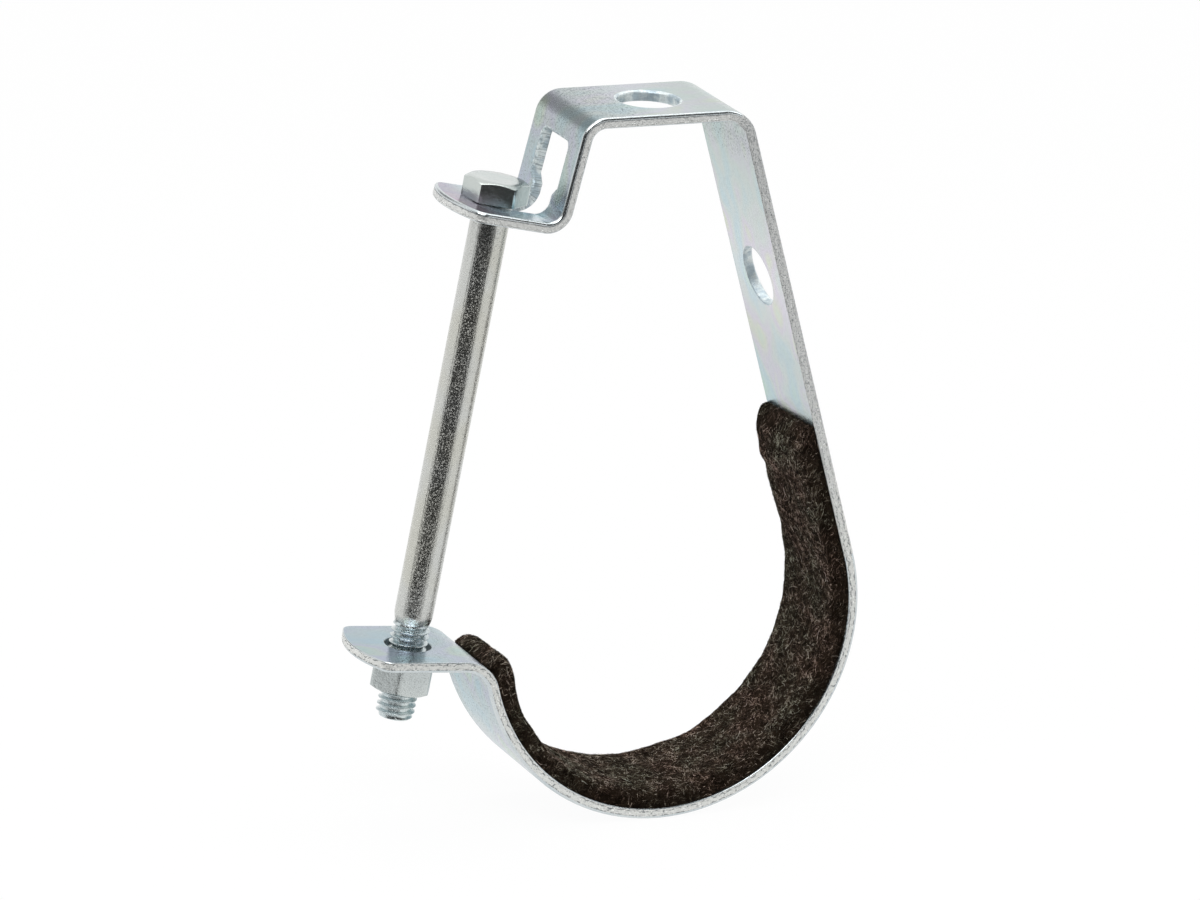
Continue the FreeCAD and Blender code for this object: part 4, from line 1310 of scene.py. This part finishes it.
@dataclass
class FeltLiner:
    """The felt strip glued inside the cradle, with its wavy face and its fibres."""

    line: StrapLine
    width: float = 28.2
    thickness: float = 4.0
    glue_face: float = -1.38
    leg_reach: float = 35.0
    lap_angle: float = 22.0
    seed: int = 7
    slice_length: float = 0.8
    slices_across: int = 32
    slices_through: int = 6
    open_faces: tuple[float, float, float, float] = (0.14, 0.26, 0.28, 0.30)
    thickness_knots: tuple[tuple[float, float], ...] = (
        (-160.0, 4.3), (-110.0, 4.3), (-92.0, 4.9), (-40.0, 4.5), (10.0, 4.5), (18.0, 4.6), (22.0, 5.3), (27.0, 4.8),
        (31.0, 4.5), (34.5, 3.9),
    )

    def __post_init__(self) -> None:
        """Works out where the felt starts and ends along the strap."""
        lap = self.line["lower_bend"]
        self.start = lap.end - lap.length * self.lap_angle / abs(lap.turn)
        self.finish = self.line["leg"].start + self.leg_reach

    def build(self) -> list[bpy.types.Object]:
        """Makes the felt and its fibres.

        Returns:
            The felt, then each sort of fibre.
        """
        mesh = bmesh.new()
        slices_along = round((self.finish - self.start) / self.slice_length)
        bmesh.ops.create_cube(mesh, size=1.0, matrix=Matrix.Translation((0.5, 0.0, 0.5)))
        for axis, count in enumerate((slices_along, self.slices_across, self.slices_through)):
            self._slice(mesh, axis, count)
        self._shape(mesh)
        bmesh.ops.recalc_face_normals(mesh, faces=mesh.faces[:])
        felt = finish_piece("pressed_felt", mesh, [PressedFelt()], "hanger", 180.0)
        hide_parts("felt_liner")
        return [felt] + [self._scatter(fibre, index) for index, fibre in enumerate(Fibre)]

    @staticmethod
    def _slice(mesh: Mesh, axis: int, count: int) -> None:
        """Cuts a unit block into equal slices along an axis.

        Args:
            mesh: The block's mesh.
            axis: The axis, from 0 for x to 2 for z.
            count: How many slices.
        """
        normal = Vector((axis == 0, axis == 1, axis == 2))
        low = -0.5 if axis == 1 else 0.0
        for index in range(1, count):
            cut(mesh, normal * (low + index / count), normal, 1e-6)

    def _spot(self, share: float, side: float, depth: float) -> tuple[float, float, float]:
        """Flat place on the felt.

        Args:
            share: Share of the length, from the lap to the leg.
            side: Place across, from -0.5 at the front to 0.5 at the back.
            depth: Share of the thickness, from the glue to the pipe.

        Returns:
            Along, across and out in the strap's flat frame.
        """
        begin = self.start - 1.6 + 2.8 * (side + 0.5) + 0.8 * depth ** 3
        stop = self.finish + 1.1 - 2.2 * (side + 0.5) - 3.4 * depth ** 3
        along = begin + (stop - begin) * share
        swell = noise.noise(Vector((along * 0.085, side * 2.0, self.seed)))
        ripple = noise.noise(Vector((along * 0.26, side * 5.0, self.seed + 3.0)))
        fine = noise.noise(Vector((along * 1.3, side * 38.0, self.seed + 9.0)))
        near = fade(along - begin, 11.0)
        thick = self._thickness(along) + 0.50 * swell + 0.26 * ripple + 0.12 * fine
        thick += (1.5 + 0.8 * side) * near ** 2
        lift = (side + 0.5) * fade(along - begin, 7.0) ** 2
        thick *= 1.0 - 0.16 * fade(min(along - begin, stop - along), 1.6) ** 2
        across = side * (self.width + 0.5 * noise.noise(Vector((along * 0.2, depth * 2.0, side * 3.0))))
        across *= 1.0 - 0.022 * (depth * 2.0 - 1.0) ** 4
        out = self.glue_face - lift - thick * depth * (1.0 - 0.07 * abs(side * 2.0) ** 8 * depth)
        return along, across, out

    def _thickness(self, along: float) -> float:
        """Thickness of the felt at a place, as it has been pressed and left.

        Args:
            along: Place along the strap's line.

        Returns:
            The thickness in millimetres.
        """
        leg = along - self.line["leg"].start
        for (start, low), (stop, high) in zip(self.thickness_knots, self.thickness_knots[1:]):
            if leg <= stop:
                part = max(0.0, (leg - start) / (stop - start))
                return low + (high - low) * part * part * (3.0 - 2.0 * part)
        return self.thickness_knots[-1][1]

    def _shape(self, mesh: Mesh) -> None:
        """Turns the unit block into the felt, laid on the strap.

        Args:
            mesh: The block's mesh, in slices.
        """
        unrolled = mesh.verts.layers.float_vector.new("unrolled")
        for vert in mesh.verts:
            spot = self._spot(*vert.co)
            vert[unrolled] = spot
            vert.co = self.line.place(*spot)

    def _root(self, chance: random.Random) -> tuple[float, float, float]:
        """A random place on the felt's open faces.

        Args:
            chance: The random numbers.

        Returns:
            Share of the length, place across and share of the thickness.
        """
        face = chance.random()
        share, side, depth = chance.random(), chance.random() - 0.5, 1.0
        front, back, leg_end, lap_end = self.open_faces
        if face < front:
            side, depth = -0.5, chance.random()
        elif face < back:
            side, depth = 0.5, chance.random()
        elif face < lap_end:
            share, depth = float(face < leg_end), chance.random()
        return share, side, depth

    def _scatter(self, fibre: Fibre, index: int) -> bpy.types.Object:
        """Lays one sort of loose fibre over the felt, as narrow ribbons cut from one grid.

        Args:
            fibre: The sort.
            index: Its number, which seeds the random numbers.

        Returns:
            The fibres as one piece.
        """
        name, count, width, reach, lift, stops = fibre.value
        chance = random.Random(self.seed * 100 + index)
        mesh = bmesh.new()
        rows = 2 * count
        bmesh.ops.create_grid(mesh, x_segments=2, y_segments=rows - 1, size=0.5)
        tone = mesh.verts.layers.float.new("tone")
        order = sorted(mesh.verts, key=lambda vert: (round((vert.co.y + 0.5) * (rows - 1)), vert.co.x))
        ranks = {vert: rank // 3 for rank, vert in enumerate(order)}
        between = [face for face in mesh.faces if min(ranks[vert] for vert in face.verts) % 2]
        bmesh.ops.delete(mesh, geom=between, context="FACES")
        for number in range(count):
            ribbon = order[number * 6:number * 6 + 6]
            shade = self._lay_fibre(ribbon, chance, width, reach, lift)
            clump = 0.25 * noise.noise(ribbon[0].co * 1.0) + 0.3 * noise.noise(ribbon[0].co * 0.3)
            # A random tone, less the fibre's painted shade.
            level_of_tone = min(1.0, max(0.0, chance.gauss(0.49, 0.33) + clump - shade))
            for vert in ribbon:
                vert[tone] = level_of_tone
        piece = finish_piece(name, mesh, [WoolFibre(name, stops)], "hanger", 180.0)
        LOG.info("%s: %d fibres", name, count)
        return piece

    def _lay_fibre(self, ribbon: list[Vert], chance: random.Random, width: float, reach: float,
                   lift: float) -> float:
        """Lays one ribbon of six vertices as a bent fibre that follows the felt.

        Args:
            ribbon: Its vertices, first one side and then the other.
            chance: The random numbers.
            width: Its greatest width.
            reach: Its greatest length.
            lift: How far its end may stand off the felt.

        Returns:
            How much painted shade darkens it: deep beside the strap, on the side faces and towards the middle of the
                felt's length.
        """
        root = Vector(self._root(chance))
        outward = Vector((0.0, 0.0, -1.0))
        sizes = Vector((self.finish - self.start, self.width, self.thickness))
        across, up = Vector((0.0, 1.0, 0.0)), Vector((1.0, 0.0, 0.0))
        if root.x in (0.0, 1.0):
            outward, up = Vector((root.x * 2.0 - 1.0, 0.0, 0.0)), Vector((0.0, 0.0, 1.0))
        elif abs(root.y) == 0.5:
            outward, across = Vector((0.0, root.y * 2.0, 0.0)), Vector((0.0, 0.0, 1.0))
        heading = chance.uniform(0.0, 2.0 * math.pi)
        curl = chance.uniform(-0.9, 0.9)
        length = reach * chance.uniform(0.35, 1.0)
        stand = lift * chance.random() ** 2
        base = 0.01 + 0.08 * chance.random()
        roll = chance.uniform(-0.7, 0.7)
        flat = root.copy()
        for place in range(3):
            turned = heading + curl * place
            ahead = up * math.cos(turned) + across * math.sin(turned)
            beside = up * -math.sin(turned) + across * math.cos(turned)
            spot = Vector(self._spot(*flat)) + outward * (base + stand * place * place * 0.25)
            edge = (beside * math.cos(roll) + outward * math.sin(roll)) * width * (0.5 - 0.18 * place)
            for row, shift in ((0, -0.5), (3, 0.5)):
                ribbon[row + place].co = self.line.place(*(spot + edge * shift))
            for axis, (low, high) in enumerate(((0.0, 1.0), (-0.5, 0.5), (0.0, 1.0))):
                flat[axis] = min(max(flat[axis] + ahead[axis] * length / 2.0 / sizes[axis], low), high)
        # Painted shade: deeper fibres, those on the side faces and those towards the middle of the length are
        # darker.
        painted_shade = 0.28 * (1.0 - root.z) + 0.09 * (abs(root.y) == 0.5)
        return painted_shade + 0.08 * math.sin(math.pi * root.x)


# Studio


@dataclass
class Studio:
    """Camera, light, white surroundings and floor."""

    azimuth: float = 25.27
    elevation: float = 17.60
    roll: float = 3.61
    target: tuple[float, float, float] = (-16.37, 0.0, 42.23)
    distance: float = 1926.3
    focal_px: float = 7876.0
    picture_px: float = 1200.0
    sensor: float = 36.0
    clip: Band = (0.05, 60.0)
    floor_height: float = -0.0505
    dark_turn: float = 10.0
    dark_spots: tuple[tuple[float, float, float, float, float], ...] = (
        (-140.0, 27.0, 0.90, 0.975, 0.82), (64.0, 36.0, 0.89, 0.95, 0.97),
    )
    dark_strips: tuple[tuple[float, float], ...] = ((74.0, 3.0), (112.0, 5.0))
    world_light: float = 0.85
    floor_size: float = 2.0
    floor_front: float = 0.14

    def build(self) -> None:
        """Sets everything up."""
        bpy.context.scene.view_settings.view_transform = "Standard"
        self._place_camera()
        self._set_world()
        self._add_lamps()
        self._add_floor()

    def _axes(self) -> tuple[Vector, Vector, Vector]:
        """The camera's right, up and backward directions.

        Returns:
            Three unit vectors.
        """
        roll = math.radians(self.roll)
        back = Vector(self._towards(0.0, self.elevation))
        right = Vector(self._towards(90.0))
        up = back.cross(right)
        turned_right = right * math.cos(roll) + up * math.sin(roll)
        turned_up = up * math.cos(roll) - right * math.sin(roll)
        return turned_right, turned_up, back

    def _place_camera(self) -> None:
        """Puts the camera where the photograph was taken from."""
        right, up, back = self._axes()
        data = bpy.data.cameras.new("camera")
        data.sensor_width = self.sensor
        data.lens = self.focal_px / self.picture_px * self.sensor
        data.clip_start, data.clip_end = self.clip
        camera = add_object("camera", data)
        spot = (Vector(self.target) + back * self.distance) * MM
        camera.matrix_world = Matrix.Translation(spot) @ Matrix((right, up, back)).transposed().to_4x4()
        bpy.context.scene.camera = camera

    def _set_world(self) -> None:
        """Surrounds the hanger with white that darkens towards the front, as a studio does."""
        world = bpy.data.worlds.new("studio")
        bpy.context.scene.world = world
        world.use_nodes = True
        recipe = Recipe(world.node_tree)
        way = recipe.node("TexCoord", {}, {}, "Generated")
        height = recipe.axis(way, "Z")
        level_way = recipe.vectors("NORMALIZE", recipe.vectors("MULTIPLY", way, (1.0, 1.0, 0.0)))
        facing = recipe.vectors("DOT_PRODUCT", level_way, self._towards(-self.dark_turn))
        rising = height.step(-0.12, 0.32)
        shade = (facing + 0.34 * rising).step(0.61, 0.69) * height.step(0.55, 0.72, 1.0, 0.0)
        light = 1.0 - 0.98 * shade
        for turn, rise, outer, inner, depth in self.dark_spots:
            near = recipe.vectors("DOT_PRODUCT", way, self._towards(turn, rise))
            light = light * near.step(outer, inner, 1.0, 1.0 - depth)
        for turn, half in self.dark_strips:
            strip = recipe.vectors("DOT_PRODUCT", level_way, self._towards(turn))
            edge = math.cos(math.radians(half))
            light = light * (1.0 - strip.step(edge - 0.002, edge + 0.001) * height.step(0.05, 0.30, 0.6, 0.0))
        lit = recipe.node("Background", {}, {"Color": WHITE, "Strength": self.world_light * light})
        plain = recipe.node("Background", {}, {"Color": WHITE, "Strength": 1.0})
        seen = recipe.rays("Is Camera Ray") + recipe.rays("Is Glossy Ray", "Is Transmission Ray") * light
        recipe.finish(recipe.node("MixShader", {}, {0: seen, 1: lit, 2: plain}))

    def _towards(self, turn: float, rise: float = 0.0) -> Colour:
        """Direction by its turn to the right of the camera, seen from the hanger, and its rise."""
        bearing, rise = math.radians(self.azimuth - turn), math.radians(rise)
        return -math.sin(bearing) * math.cos(rise), -math.cos(bearing) * math.cos(rise), math.sin(rise)

    @staticmethod
    def _add_lamps() -> None:
        """Adds a soft key from the upper left, a fill from the right, a top and a front lamp."""
        for name, spot, size, power in (
            ("key", (-1.1, -0.5, 1.3), 0.7, 6.0),
            ("fill", (1.2, -0.1, 1.3), 0.8, 3.5),
            ("top", (0.14, 0.30, 1.5), 0.9, 5.0),
            ("front", (-0.39, -0.82, 1.08), 0.7, 8.0),
        ):
            data = bpy.data.lights.new(name, "AREA")
            data.size = size
            data.energy = power
            lamp = add_object(name, data)
            lamp.matrix_world = Matrix.Translation(spot) @ Vector(spot).to_track_quat("Z", "Y").to_matrix().to_4x4()

    def _add_floor(self) -> None:
        """Lays a pale floor that keeps the hanger's shadow."""
        mesh = bmesh.new()
        bmesh.ops.create_grid(mesh, x_segments=1, y_segments=1, size=self.floor_size)
        place = Matrix.Translation((0.0, self.floor_size - self.floor_front, self.floor_height))
        place = Matrix.Rotation(-math.radians(self.azimuth), 4, "Z") @ place
        bmesh.ops.transform(mesh, matrix=place, verts=mesh.verts[:])
        data = mesh_data("floor", mesh)
        data.materials.append(PalePaper().material())
        floor = add_object("floor", data)


def main() -> None:
    """Builds the hanger and its studio."""
    logging.basicConfig(level=logging.INFO, format="%(name)s %(message)s")
    Studio().build()
    line = StrapLine()
    axis = BoltFrame()
    Strap(line).build()
    SideBolt(axis).build()
    HexNut(axis).build()
    FeltLiner(line).build()


if __name__ == "__main__":
    main()
